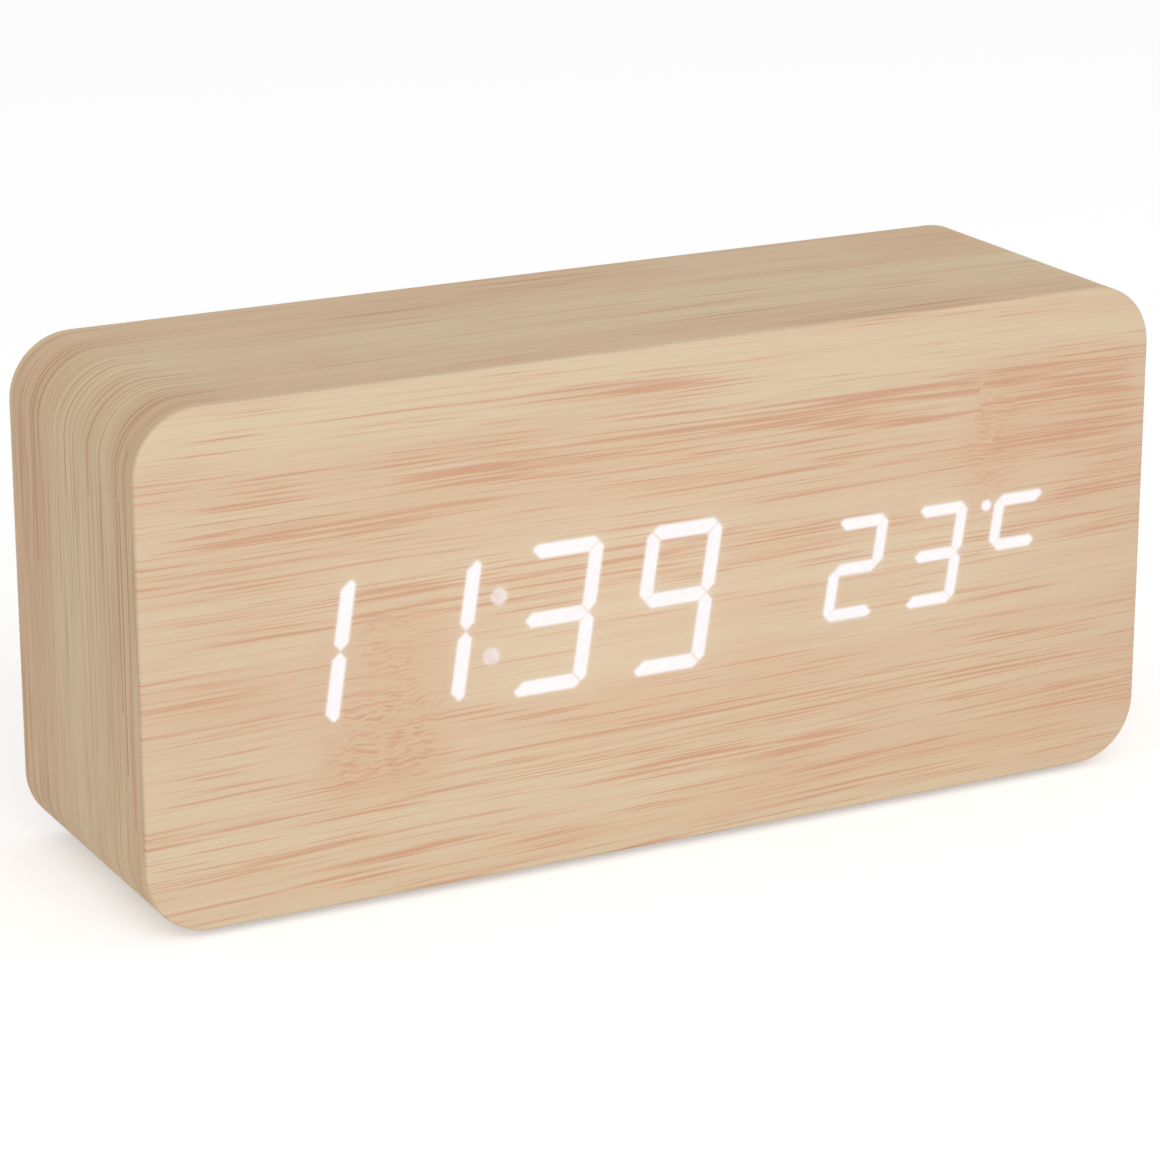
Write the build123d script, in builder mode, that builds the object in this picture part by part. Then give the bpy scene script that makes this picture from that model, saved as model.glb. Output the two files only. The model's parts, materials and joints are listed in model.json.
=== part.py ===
from build123d import *
import os
from math import radians, sqrt, tan

# A digital LED desk clock in a veneered wooden case, piece by piece.
# Lengths are millimetres. +Z is up, the front faces -Y, and +X is to the right seen from the front.
# The origin is on the surface that the clock stands on, under the middle of its outline.

# Case
case_width = 150.0
case_height = 69.0
case_depth = 44.0
corner_radius = 8.7
case_wall = 5.0
front_wall = 3.5
panel_thickness = 3.0
front_sheet = 0.6
band_sheet = 0.5
rear_sheet = 0.5
sheet_edge_radius = 0.35
corner_block = 9.0
block_floor = 0.6
rail_depth = 2.0
rail_width = 3.0
rail_clearance = 0.2
cut_overrun = 1.0

# Feet
foot_height = 1.0
foot_radius = 2.4
foot_edge_radius = 0.4
foot_side_inset = 4.3
foot_edge_inset = 2.8

# Countersunk wood screws, in the back and in the battery tray
countersink_angle = 90.0
screw_clearance = 0.2
pilot_clearance = 0.05
rear_screw_radius = 1.4
rear_screw_head_radius = 2.8
rear_screw_length = 8.5
rear_screw_cross = 3.0
rear_screw_slot = 0.6
rear_screw_slot_depth = 1.0
tray_screw_radius = 1.0
tray_screw_head_radius = 1.9
tray_screw_length = 5.0
tray_screw_cross = 2.0
tray_screw_slot = 0.45
tray_screw_slot_depth = 0.6

# Round-headed screws of the two boards
board_screw_radius = 1.1
board_screw_head_radius = 2.1
board_screw_head = 1.3
board_screw_length = 6.4
board_screw_inset = 3.0
board_screw_cross = 2.2
board_screw_slot = 0.5
board_screw_slot_depth = 0.7
board_screw_head_taper = 12.0

# Digits: bars run between the middles of their neighbours, slanted alike;
# the middle of each row is a share of half the case's width
slant_angle = 8.6
bar_gap_share = 0.28
bar_clearance = 0.05
mitre_lean_share = 0.4
time_digit_count = 4
time_half_width = 4.65
time_half_height = 9.2
time_bar = 1.5
time_pitch = 17.75
time_middle_share = -0.344
colon_half_height = 4.0
colon_radius = 1.0
temperature_digit_count = 3
temperature_half_width = 3.3
temperature_half_height = 6.3
temperature_bar = 1.15
temperature_pitch = 12.65
temperature_middle_share = 0.5493
degree_radius = 0.52
degree_gap = 2.15
degree_drop = 0.4

# Reflector block and its board
nose_margin = 2.0
nose_clearance = 0.2
housing_plate = 2.5
board_thickness = 1.6
board_edge_gap = 1.0
board_margin = 10.0
chip_size = 0.8
chip_height = 0.5
chip_air_gap = 0.3

# Parts on the back of the display board, placed by shares of its half width and half height
driver_width = 18.0
driver_height = 7.5
driver_depth = 2.3
driver_shares = (0.0, -0.32)
clock_chip_width = 5.0
clock_chip_height = 4.0
clock_chip_depth = 1.75
clock_chip_shares = (0.2, 0.42)
crystal_radius = 1.0
crystal_length = 6.0
crystal_shares = (0.35, 0.42)
capacitor_radius = 2.5
capacitor_length = 7.0
capacitor_pitch = 9.0
capacitor_shares = (0.525, -0.47)
resistor_length = 2.0
resistor_width = 1.25
resistor_depth = 0.5
resistor_pitch = 4.0
resistor_count = 8
resistor_shares = (-0.12, 0.79)
holder_size = 23.0
holder_depth = 5.0
holder_share = -0.51
holder_lift = 2.0
coin_radius = 10.0
coin_thickness = 3.2
coin_clearance = 0.15

# Key board, behind the back panel; its row is a share of half the case's height
key_board_end_gap = 1.5
key_board_height = 16.0
key_row_share = 0.35
standoff_radius = 2.5
standoff_inset = 3.5
standoff_drop = 4.5

# Keys, by shares of half the key board's width; two of them carry a triangle, turned to point
key_shares = {"set": 0.44, "up": 0.2, "down": -0.04}
mark_turns = {"up": 90.0, "down": -90.0}
mark_sides = 3
key_radius = 2.5
key_proud = 1.0
key_travel = 0.5
key_edge_radius = 0.4
key_mark_radius = 1.5
key_mark_depth = 0.25
key_flange_radius = 3.4
key_flange = 1.0
key_flange_gap = 0.1
key_clearance = 0.15
switch_size = 6.0
switch_height = 3.5
plunger_radius = 1.75
plunger_height = 1.5
plunger_root = 1.2
plunger_clearance = 0.05
plunger_end_gap = 0.3

# Power inlet, sounder, microphone and temperature sensor, by shares of half the key board's width
jack_share = -0.475
jack_size = 9.0
jack_nose_radius = 3.2
jack_clearance = 0.2
jack_bore_radius = 1.8
jack_mouth_chamfer = 0.4
jack_bore_floor = 1.2
jack_pin_radius = 0.65
jack_pin_length = 6.5
buzzer_share = -0.745
buzzer_radius = 6.0
buzzer_air_gap = 0.4
buzzer_hole_radius = 1.0
buzzer_hole_depth = 1.5
sound_hole_radius = 0.7
sound_ring_radius = 2.8
sound_hole_count = 6
microphone_share = -0.24
microphone_radius = 3.0
microphone_air_gap = 0.3
microphone_hole_radius = 0.8
thermistor_share = 0.745
bead_radius = 1.2
bead_clearance = 0.1
bead_recess = 0.4
bead_length = 3.0
sensor_wire_radius = 0.25
sensor_wire_half_pitch = 0.6

# Ribbon between the boards
header_width = 10.0
header_height = 5.0
header_depth = 5.0
display_header_shares = (0.585, 0.1)
ribbon_width = 8.0
ribbon_thickness = 0.8
ribbon_bend_radius = 3.0

# Dry cells and their contacts
cell_radius = 5.25
cell_length = 44.5
cell_edge_radius = 0.5
nub_radius = 1.9
nub_height = 1.0
cell_gap = 0.3
contact_sheet = 0.4
contact_margin = 1.5
link_size = 2.0
link_clearance = 0.1
tab_width = 3.0
tab_length = 3.0
tab_clearance = 0.1
spring_length = 4.0
spring_radius = 2.6
spring_wire_radius = 0.25
spring_pitch = 1.1
spring_seat_gap = 0.1
lead_radius = 0.6
lead_bend_share = 0.6
lead_inset = 8.0
lead_pitch = 4.5

# Battery tray and its door, in the underside
tray_partition = 1.5
tray_end_wall = 2.0
tray_side_wall = 1.2
tray_roof = 1.2
tray_clearance = 0.2
flange_thickness = 1.2
flange_width = 2.0
flange_ear = 6.0
notch_radius = 2.8
door_thickness = 2.0
door_gap = 0.3
hinge_pin_radius = 0.7
hinge_pin_length = 1.2
hinge_pin_clearance = 0.05
hinge_pin_end_gap = 0.2
catch_radius = 0.2
catch_length = 6.0
catch_pitch = 30.0
grip_count = 4
grip_length = 14.0
grip_width = 0.9
grip_pitch = 1.9
grip_depth = 0.5
grip_inset = 3.5

# Depths, from the front to the back
front_y = -(case_depth + key_proud) / 2
back_y = front_y + case_depth
middle_y = (front_y + back_y) / 2
wall_front_y = front_y + front_sheet
wall_back_y = wall_front_y + front_wall
board_front_y = wall_back_y + housing_plate
board_back_y = board_front_y + board_thickness
panel_back_y = back_y - rear_sheet
panel_front_y = panel_back_y - panel_thickness
key_space = key_flange_gap + key_flange + plunger_height + switch_height
key_board_back_y = panel_front_y - key_space
key_board_front_y = key_board_back_y - board_thickness
block_front_y = back_y - rear_screw_length - block_floor

# Heights
case_bottom = foot_height
middle_z = case_bottom + case_height / 2

# Outlines of the wooden box
shell_width = case_width - 2 * band_sheet
shell_height = case_height - 2 * band_sheet
shell_radius = corner_radius - band_sheet
cavity_width = shell_width - 2 * case_wall
cavity_height = shell_height - 2 * case_wall
cavity_radius = shell_radius - case_wall
cavity_floor = case_bottom + band_sheet + case_wall
block_span = (cavity_width - corner_block, cavity_height - corner_block)
board_width = cavity_width - 2 * board_edge_gap
board_height = cavity_height - 2 * board_margin
board_screw_span = (board_width - 2 * board_screw_inset, board_height - 2 * board_screw_inset)
key_board_width = cavity_width - 2 * (corner_block + key_board_end_gap)
key_row = key_row_share * case_height / 2
time_middle = time_middle_share * case_width / 2
temperature_middle = temperature_middle_share * case_width / 2

# Battery tray, about its own middle
bay_length = cell_length + spring_length + 2 * contact_sheet
tray_inner_length = 2 * bay_length + tray_partition
tray_length = tray_inner_length + 2 * tray_end_wall
tray_inner_width = 4 * cell_radius + 3 * cell_gap
tray_width = tray_inner_width + 2 * tray_side_wall
door_top = case_bottom + door_thickness
bay_floor = door_top + door_gap
cell_z = bay_floor + cell_gap + cell_radius
bay_roof = cell_z + cell_radius + cell_gap
tray_top = bay_roof + tray_roof
row_offset = cell_radius + cell_gap / 2
flange_length = tray_length + 2 * flange_ear
flange_span = tray_width + 2 * flange_width
tray_screw_span = tray_length + flange_ear
hinge_y = middle_y - tray_inner_width / 2 + door_gap + door_thickness / 2
hinge_z = case_bottom + door_thickness / 2
door_length = tray_inner_length - 2 * door_gap
door_rear_y = middle_y + tray_inner_width / 2 - door_gap

os.makedirs("parts", exist_ok=True)


def save(name, part):
    """Labels a finished piece and writes it."""
    part.label = name
    export_step(part, f"parts/{name}.step")


def face_plane(y):
    """The upright plane at a depth, centred on the case, with x to the right and y up."""
    return Plane(origin=(0, y, middle_z), x_dir=(1, 0, 0), z_dir=(0, -1, 0))


def level_plane(z):
    """The level plane at a height, centred on the case."""
    return Plane(origin=(0, middle_y, z))


def back_facing(y):
    """A plane at a depth that looks to the back."""
    return Plane(origin=(0, y, middle_z), x_dir=(1, 0, 0), z_dir=(0, 1, 0))


def outline_between(y_from, y_to, width, height, radius, mode=Mode.ADD):
    """Adds or cuts the case's rounded outline from one depth to another."""
    with BuildSketch(face_plane(y_from)) as shape:
        RectangleRounded(width, height, radius)
    extrude(shape.sketch, amount=y_from - y_to, mode=mode)


def blocks_between(y_from, y_to, places, width, height, mode=Mode.ADD):
    """Adds or cuts upright rectangles at these places from one depth to another."""
    with BuildSketch(face_plane(y_from)) as shape:
        with Locations(*places):
            Rectangle(width, height)
    extrude(shape.sketch, amount=y_from - y_to, mode=mode)


def rods_between(y_from, y_to, places, radius, mode=Mode.ADD):
    """Adds or cuts round rods at these places from one depth to another."""
    with BuildSketch(face_plane(y_from)) as shape:
        with Locations(*places):
            Circle(radius)
    extrude(shape.sketch, amount=y_from - y_to, mode=mode)


def bars_between(y_from, y_to, outlines, mode=Mode.ADD):
    """Adds or cuts bars with these outlines from one depth to another."""
    with BuildSketch(face_plane(y_from)) as shape:
        for outline in outlines:
            Polygon(*outline, align=None)
    extrude(shape.sketch, amount=y_from - y_to, mode=mode)


def columns_between(z_from, z_to, places, length, width, mode=Mode.ADD):
    """Adds or cuts level rectangles at these places from one height to another."""
    with BuildSketch(level_plane(z_from)) as shape:
        with Locations(*places):
            Rectangle(length, width)
    extrude(shape.sketch, amount=z_to - z_from, mode=mode)


def cut_cross(arm, slot, depth):
    """Cuts a cross recess down into a screw head whose top is on the XY plane."""
    with BuildSketch(Plane.XY) as shape:
        Rectangle(arm, slot)
        Rectangle(slot, arm)
    extrude(shape.sketch, amount=-depth, mode=Mode.SUBTRACT)


def countersunk_screw(head_radius, radius, length, arm, slot, depth):
    """A wood screw with the top of its head on the XY plane and its point down."""
    with BuildPart() as screw:
        with BuildSketch(Plane.XZ):
            with BuildLine():
                Polyline(
                    (0, 0),
                    (head_radius, 0),
                    (radius, radius - head_radius),
                    (radius, radius - length),
                    (0, -length),
                    close=True,
                )
            make_face()
        revolve(axis=Axis.Z)
        cut_cross(arm, slot, depth)
    return screw.part


def board_screw():
    """A round-headed screw with the underside of its head below the XY plane by the head's height."""
    with BuildPart() as screw:
        with BuildSketch(Plane.XY.offset(-board_screw_head)):
            Circle(board_screw_head_radius)
        extrude(amount=board_screw_head, taper=board_screw_head_taper)
        with BuildSketch(Plane.XY.offset(-board_screw_head)):
            Circle(board_screw_radius)
        extrude(amount=-board_screw_length)
        cut_cross(board_screw_cross, board_screw_slot, board_screw_slot_depth)
    return screw.part


def grid_places(span):
    """Four places, at the corners of a span centred on the case."""
    half_width, half_height = span[0] / 2, span[1] / 2
    return [(x, z) for x in (-half_width, half_width) for z in (-half_height, half_height)]


# Each bar of a digit runs clockwise, as shares of the digit's half width and half height
bar_shares = {
    "a": ((-1, 1), (1, 1)),
    "b": ((1, 1), (1, 0)),
    "c": ((1, 0), (1, -1)),
    "d": ((1, -1), (-1, -1)),
    "e": ((-1, -1), (-1, 0)),
    "f": ((-1, 0), (-1, 1)),
    "g": ((-1, 0), (1, 0)),
}

time_size = (time_half_width, time_half_height, time_bar)
temperature_size = (temperature_half_width, temperature_half_height, temperature_bar)


def board_place(shares):
    """A place on the display board, from shares of its half width and half height."""
    return (shares[0] * board_width / 2, shares[1] * board_height / 2)


def key_row_place(share):
    """A place on the key row, from a share of half the key board's width."""
    return (share * key_board_width / 2, key_row)


def row_places(middle, pitch, count):
    """Where the middles of a row's digits lie, from left to right."""
    return [middle + (place - (count - 1) / 2) * pitch for place in range(count)]


time_places = row_places(time_middle, time_pitch, time_digit_count)
temperature_places = row_places(temperature_middle, temperature_pitch, temperature_digit_count)

# Each digit: the place of its middle, its sizes and the bars of it that are lit
digits = {
    "hour_tens": (time_places[0], time_size, "bc"),
    "hour_units": (time_places[1], time_size, "bc"),
    "minute_tens": (time_places[2], time_size, "abcdg"),
    "minute_units": (time_places[3], time_size, "abcdfg"),
    "temperature_tens": (temperature_places[0], temperature_size, "abdeg"),
    "temperature_units": (temperature_places[1], temperature_size, "abcdg"),
    "celsius": (temperature_places[2], temperature_size, "afg"),
}


def slanted(x, z):
    """A place on the face, leant over by the digits' slant about the face's middle height."""
    return (x + z * tan(radians(slant_angle)), z)


def bar_line(digit, bar):
    """The ends of a bar's middle line, upright, as two vectors."""
    place, (half_width, half_height, _), _ = digits[digit]
    return [Vector(place + x * half_width, z * half_height) for x, z in bar_shares[bar]]


def bar_outline(digit, bar, grow=0):
    """The six corners of a bar, slanted, with its sides moved outward by an amount."""
    thickness = digits[digit][1][2]
    start, end = bar_line(digit, bar)
    along = (end - start).normalized()
    outward = Vector(-along.Y, along.X)
    half = thickness / 2 + grow
    reach = grow * sqrt(2) - bar_gap_share * thickness
    corners = []
    for point, forward, share in zip((start, end), (along * -1, along), bar_shares[bar]):
        lean = abs(share[1]) * mitre_lean_share * thickness / 2
        sides = [
            (-half, reach - half),
            (lean, reach + lean),
            (half, reach + 2 * lean - half),
        ]
        ends = [point + outward * side + forward * ahead for side, ahead in sides]
        corners += ends if point is start else reversed(ends)
    return [slanted(corner.X, corner.Y) for corner in corners]


lit_bars = [(digit, bar) for digit, (_, _, lit) in digits.items() for bar in lit]
dark_bars = [(digit, bar) for digit in digits for bar in bar_shares if bar not in digits[digit][2]]
all_bars = lit_bars + dark_bars
colon_places = [slanted(time_middle, z) for z in (-colon_half_height, colon_half_height)]
degree_place = slanted(
    temperature_places[2] - temperature_half_width - degree_gap, temperature_half_height - degree_drop
)
bar_back_y = board_front_y - chip_height - chip_air_gap


def nose_box(places, size):
    """The middle, width and height of the block that rises behind one row of digits."""
    half_width, half_height, thickness = size
    half_rise = half_height + thickness / 2 + nose_margin
    half_run = half_width + half_rise * tan(radians(slant_angle)) + thickness / 2 + nose_margin
    left, right = min(places) - half_run, max(places) + half_run
    return ((left + right) / 2, 0), right - left, 2 * half_rise


noses = [nose_box(time_places, time_size), nose_box(temperature_places, temperature_size)]

# Places of what shows at the back
key_places = [key_row_place(share) for share in key_shares.values()]
jack_at = key_row_place(jack_share)
buzzer_at = key_row_place(buzzer_share)
microphone_at = key_row_place(microphone_share)
thermistor_at = key_row_place(thermistor_share)
standoff_places = [
    (x, key_row + z)
    for x in (standoff_inset - key_board_width / 2, key_board_width / 2 - standoff_inset)
    for z in (-standoff_drop, standoff_drop)
]


def cut_back_holes(y_from, y_to):
    """Cuts the holes for keys, inlet, sound and sensor through a layer of the back."""
    rods_between(y_from, y_to, key_places, key_radius + key_clearance, Mode.SUBTRACT)
    rods_between(y_from, y_to, [jack_at], jack_nose_radius + jack_clearance, Mode.SUBTRACT)
    rods_between(y_from, y_to, [microphone_at], microphone_hole_radius, Mode.SUBTRACT)
    rods_between(y_from, y_to, [thermistor_at], bead_radius + bead_clearance, Mode.SUBTRACT)
    with BuildSketch(face_plane(y_from)) as shape:
        with Locations(buzzer_at):
            Circle(sound_hole_radius)
            with PolarLocations(sound_ring_radius, sound_hole_count):
                Circle(sound_hole_radius)
    extrude(shape.sketch, amount=y_from - y_to, mode=Mode.SUBTRACT)
    with Locations(back_facing(back_y)):
        with GridLocations(*block_span, 2, 2):
            CounterSinkHole(
                rear_screw_radius + screw_clearance,
                rear_screw_head_radius,
                back_y - y_from,
                countersink_angle,
            )


# Wooden box, open at the back, with screw blocks in its corners
with BuildPart() as case_shell:
    outline_between(wall_front_y, panel_front_y, shell_width, shell_height, shell_radius)
    outline_between(
        wall_back_y, panel_front_y + cut_overrun, cavity_width, cavity_height, cavity_radius, Mode.SUBTRACT
    )
    blocks_between(block_front_y, panel_front_y, grid_places(block_span), corner_block, corner_block)
    for middle, width, height in noses:
        blocks_between(
            wall_front_y - cut_overrun,
            wall_back_y + cut_overrun,
            [middle],
            width + 2 * nose_clearance,
            height + 2 * nose_clearance,
            Mode.SUBTRACT,
        )
    columns_between(
        case_bottom - cut_overrun,
        cavity_floor + cut_overrun,
        [(0, 0)],
        tray_length + 2 * tray_clearance,
        tray_width + 2 * tray_clearance,
        Mode.SUBTRACT,
    )
    columns_between(
        case_bottom - cut_overrun,
        case_bottom + flange_thickness,
        [(0, 0)],
        flange_length + 2 * tray_clearance,
        flange_span + 2 * tray_clearance,
        Mode.SUBTRACT,
    )
    rods_between(
        back_y - rear_screw_length - pilot_clearance,
        panel_front_y + cut_overrun,
        grid_places(block_span),
        rear_screw_radius + pilot_clearance,
        Mode.SUBTRACT,
    )
    rods_between(
        board_back_y - board_screw_length - pilot_clearance,
        wall_back_y + cut_overrun,
        grid_places(board_screw_span),
        board_screw_radius + pilot_clearance,
        Mode.SUBTRACT,
    )
    with BuildSketch(level_plane(case_bottom)):
        with GridLocations(tray_screw_span, 0, 2, 1):
            Circle(tray_screw_radius + pilot_clearance)
    extrude(amount=tray_screw_length + pilot_clearance, mode=Mode.SUBTRACT)
save("case_shell", case_shell.part)

# Veneer wrapped round the four sides
with BuildPart() as band_veneer:
    outline_between(wall_front_y, panel_back_y, case_width, case_height, corner_radius)
    outline_between(
        wall_front_y - cut_overrun,
        panel_back_y + cut_overrun,
        shell_width,
        shell_height,
        shell_radius,
        Mode.SUBTRACT,
    )
    columns_between(
        case_bottom - cut_overrun,
        case_bottom + band_sheet + cut_overrun,
        [(0, 0)],
        flange_length + 2 * tray_clearance,
        flange_span + 2 * tray_clearance,
        Mode.SUBTRACT,
    )
save("band_veneer", band_veneer.part)

# Front sheet, with a window for each lit bar
with BuildPart() as front_veneer:
    outline_between(front_y, wall_front_y, case_width, case_height, corner_radius)
    fillet(front_veneer.faces().sort_by(Axis.Y)[0].outer_wire().edges(), sheet_edge_radius)
    lit_windows = [bar_outline(digit, bar, bar_clearance) for digit, bar in lit_bars]
    bars_between(front_y - cut_overrun, wall_front_y + cut_overrun, lit_windows, Mode.SUBTRACT)
    for places, radius in ((colon_places, colon_radius), ([degree_place], degree_radius)):
        rods_between(
            front_y - cut_overrun, wall_front_y + cut_overrun, places, radius + bar_clearance, Mode.SUBTRACT
        )
save("front_veneer", front_veneer.part)

# Back panel, with rails that locate it in the box
with BuildPart() as rear_panel:
    outline_between(panel_front_y, panel_back_y, shell_width, shell_height, shell_radius)
    rail_length = cavity_width - 2 * corner_block - 2 * rail_clearance
    rail_offset = (cavity_height - rail_width) / 2 - rail_clearance
    blocks_between(
        panel_front_y - rail_depth,
        panel_front_y,
        [(0, -rail_offset), (0, rail_offset)],
        rail_length,
        rail_width,
    )
    cut_back_holes(panel_front_y - cut_overrun, panel_back_y + cut_overrun)
save("rear_panel", rear_panel.part)

# Sheet on the back panel
with BuildPart() as rear_veneer:
    outline_between(panel_back_y, back_y, case_width, case_height, corner_radius)
    fillet(rear_veneer.faces().sort_by(Axis.Y)[-1].outer_wire().edges(), sheet_edge_radius)
    cut_back_holes(panel_back_y - cut_overrun, back_y + cut_overrun)
save("rear_veneer", rear_veneer.part)

# Screws that hold the back panel
rear_screw = countersunk_screw(
    rear_screw_head_radius,
    rear_screw_radius,
    rear_screw_length,
    rear_screw_cross,
    rear_screw_slot,
    rear_screw_slot_depth,
)
with BuildPart() as rear_screws:
    with Locations(back_facing(back_y)):
        with GridLocations(*block_span, 2, 2):
            add(rear_screw)
save("rear_screws", rear_screws.part)

# Pads that the clock stands on
with BuildPart() as feet:
    with BuildSketch(level_plane(case_bottom)):
        with GridLocations(
            case_width - 2 * (corner_radius + foot_side_inset),
            case_depth - 2 * (foot_radius + foot_edge_inset),
            2,
            2,
        ):
            Circle(foot_radius)
    extrude(amount=-foot_height)
    fillet(feet.edges().group_by(Axis.Z)[0], foot_edge_radius)
save("feet", feet.part)

# Reflector block: a plate against the front wall, with noses that reach the front sheet
with BuildPart() as segment_housing:
    blocks_between(wall_back_y, board_front_y, [(0, 0)], board_width, board_height)
    for middle, width, height in noses:
        blocks_between(wall_front_y, board_front_y, [middle], width, height)
    slots = [bar_outline(digit, bar, bar_clearance) for digit, bar in all_bars]
    bars_between(wall_front_y - cut_overrun, board_front_y + cut_overrun, slots, Mode.SUBTRACT)
    for places, radius in ((colon_places, colon_radius), ([degree_place], degree_radius)):
        rods_between(
            wall_front_y - cut_overrun,
            board_front_y + cut_overrun,
            places,
            radius + bar_clearance,
            Mode.SUBTRACT,
        )
    rods_between(
        wall_back_y - cut_overrun,
        board_front_y + cut_overrun,
        grid_places(board_screw_span),
        board_screw_radius + screw_clearance,
        Mode.SUBTRACT,
    )
save("segment_housing", segment_housing.part)

# Lit bars, one piece for each digit, which reach the front face
for digit, (_, _, lit) in digits.items():
    with BuildPart() as digit_bars:
        bars_between(front_y, bar_back_y, [bar_outline(digit, bar) for bar in lit])
    save(f"{digit}_bars", digit_bars.part)

with BuildPart() as colon_dots:
    rods_between(front_y, bar_back_y, colon_places, colon_radius)
save("colon_dots", colon_dots.part)

with BuildPart() as degree_dot:
    rods_between(front_y, bar_back_y, [degree_place], degree_radius)
save("degree_dot", degree_dot.part)

# Dark bars, which stop behind the front sheet
with BuildPart() as unlit_bars:
    dark_outlines = [bar_outline(digit, bar) for digit, bar in dark_bars]
    bars_between(wall_front_y, bar_back_y, dark_outlines)
save("unlit_bars", unlit_bars.part)

# One light chip behind each bar and dot
bar_middles = [(bar_line(digit, bar)[0] + bar_line(digit, bar)[1]) / 2 for digit, bar in all_bars]
chip_places = [slanted(middle.X, middle.Y) for middle in bar_middles] + colon_places + [degree_place]
with BuildPart() as led_chips:
    blocks_between(board_front_y - chip_height, board_front_y, chip_places, chip_size, chip_size)
save("led_chips", led_chips.part)

with BuildPart() as display_board:
    blocks_between(board_front_y, board_back_y, [(0, 0)], board_width, board_height)
    rods_between(
        board_front_y - cut_overrun,
        board_back_y + cut_overrun,
        grid_places(board_screw_span),
        board_screw_radius + screw_clearance,
        Mode.SUBTRACT,
    )
save("display_board", display_board.part)

small_screw = board_screw()
with BuildPart() as board_screws:
    with Locations(back_facing(board_back_y + board_screw_head)):
        with GridLocations(*board_screw_span, 2, 2):
            add(small_screw)
save("board_screws", board_screws.part)

# Parts on the back of the display board
with BuildPart() as display_driver:
    driver_at = board_place(driver_shares)
    blocks_between(board_back_y, board_back_y + driver_depth, [driver_at], driver_width, driver_height)
save("display_driver", display_driver.part)

with BuildPart() as clock_chip:
    blocks_between(
        board_back_y,
        board_back_y + clock_chip_depth,
        [board_place(clock_chip_shares)],
        clock_chip_width,
        clock_chip_height,
    )
save("clock_chip", clock_chip.part)

crystal_x, crystal_z = board_place(crystal_shares)
with BuildPart() as crystal:
    with BuildSketch(
        Plane(origin=(crystal_x, board_back_y + crystal_radius, middle_z + crystal_z), z_dir=(1, 0, 0))
    ):
        Circle(crystal_radius)
    extrude(amount=crystal_length / 2, both=True)
save("crystal", crystal.part)

capacitor_x, capacitor_z = board_place(capacitor_shares)
capacitor_places = [(capacitor_x + side * capacitor_pitch / 2, capacitor_z) for side in (-1, 1)]
with BuildPart() as capacitors:
    rods_between(board_back_y, board_back_y + capacitor_length, capacitor_places, capacitor_radius)
save("capacitors", capacitors.part)

resistor_x, resistor_z = board_place(resistor_shares)
resistor_places = [(x, resistor_z) for x in row_places(resistor_x, resistor_pitch, resistor_count)]
with BuildPart() as resistors:
    blocks_between(
        board_back_y, board_back_y + resistor_depth, resistor_places, resistor_width, resistor_length
    )
save("resistors", resistors.part)

coin_floor_y = board_back_y + holder_depth - coin_thickness
holder_at = (holder_share * board_width / 2, holder_lift + (holder_size - board_height) / 2)
with BuildPart() as coin_cell_holder:
    blocks_between(board_back_y, board_back_y + holder_depth, [holder_at], holder_size, holder_size)
    rods_between(
        coin_floor_y,
        board_back_y + holder_depth + cut_overrun,
        [holder_at],
        coin_radius + coin_clearance,
        Mode.SUBTRACT,
    )
save("coin_cell_holder", coin_cell_holder.part)

with BuildPart() as coin_cell:
    rods_between(coin_floor_y, coin_floor_y + coin_thickness, [holder_at], coin_radius)
save("coin_cell", coin_cell.part)

# Key board, hung from the back panel on posts
with BuildPart() as key_board:
    blocks_between(key_board_front_y, key_board_back_y, [(0, key_row)], key_board_width, key_board_height)
    rods_between(
        key_board_front_y - cut_overrun,
        key_board_back_y + cut_overrun,
        standoff_places,
        board_screw_radius + screw_clearance,
        Mode.SUBTRACT,
    )
save("key_board", key_board.part)

with BuildPart() as key_board_standoffs:
    rods_between(key_board_back_y, panel_front_y, standoff_places, standoff_radius)
    rods_between(
        key_board_back_y - cut_overrun,
        panel_front_y + cut_overrun,
        standoff_places,
        board_screw_radius + pilot_clearance,
        Mode.SUBTRACT,
    )
save("key_board_standoffs", key_board_standoffs.part)

with BuildPart() as key_board_screws:
    with Locations(face_plane(key_board_front_y - board_screw_head)):
        with Locations(*standoff_places):
            add(small_screw)
save("key_board_screws", key_board_screws.part)

# Keys: each is a switch on the board, its plunger, and the button that comes out at the back
switch_top_y = key_board_back_y + switch_height
plunger_top_y = switch_top_y + plunger_height
key_bore_depth = plunger_root + key_travel + plunger_end_gap
for key_name, place in zip(key_shares, key_places):
    with BuildPart() as switch:
        blocks_between(key_board_back_y, switch_top_y, [place], switch_size, switch_size)
        rods_between(
            switch_top_y - key_bore_depth,
            switch_top_y + cut_overrun,
            [place],
            plunger_radius + plunger_clearance,
            Mode.SUBTRACT,
        )
    save(f"{key_name}_switch", switch.part)

    with BuildPart() as plunger:
        rods_between(switch_top_y - plunger_root, plunger_top_y, [place], plunger_radius)
    save(f"{key_name}_plunger", plunger.part)

    with BuildPart() as button:
        rods_between(plunger_top_y, plunger_top_y + key_flange, [place], key_flange_radius)
        rods_between(plunger_top_y, back_y + key_proud, [place], key_radius)
        fillet(button.faces().sort_by(Axis.Y)[-1].edges(), key_edge_radius)
        with BuildSketch(face_plane(back_y + key_proud - key_mark_depth)) as mark:
            with Locations(place):
                if key_name in mark_turns:
                    RegularPolygon(key_mark_radius, mark_sides, rotation=mark_turns[key_name])
                else:
                    Circle(key_mark_radius)
        extrude(mark.sketch, amount=-key_mark_depth - cut_overrun, mode=Mode.SUBTRACT)
    save(f"{key_name}_button", button.part)

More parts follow.
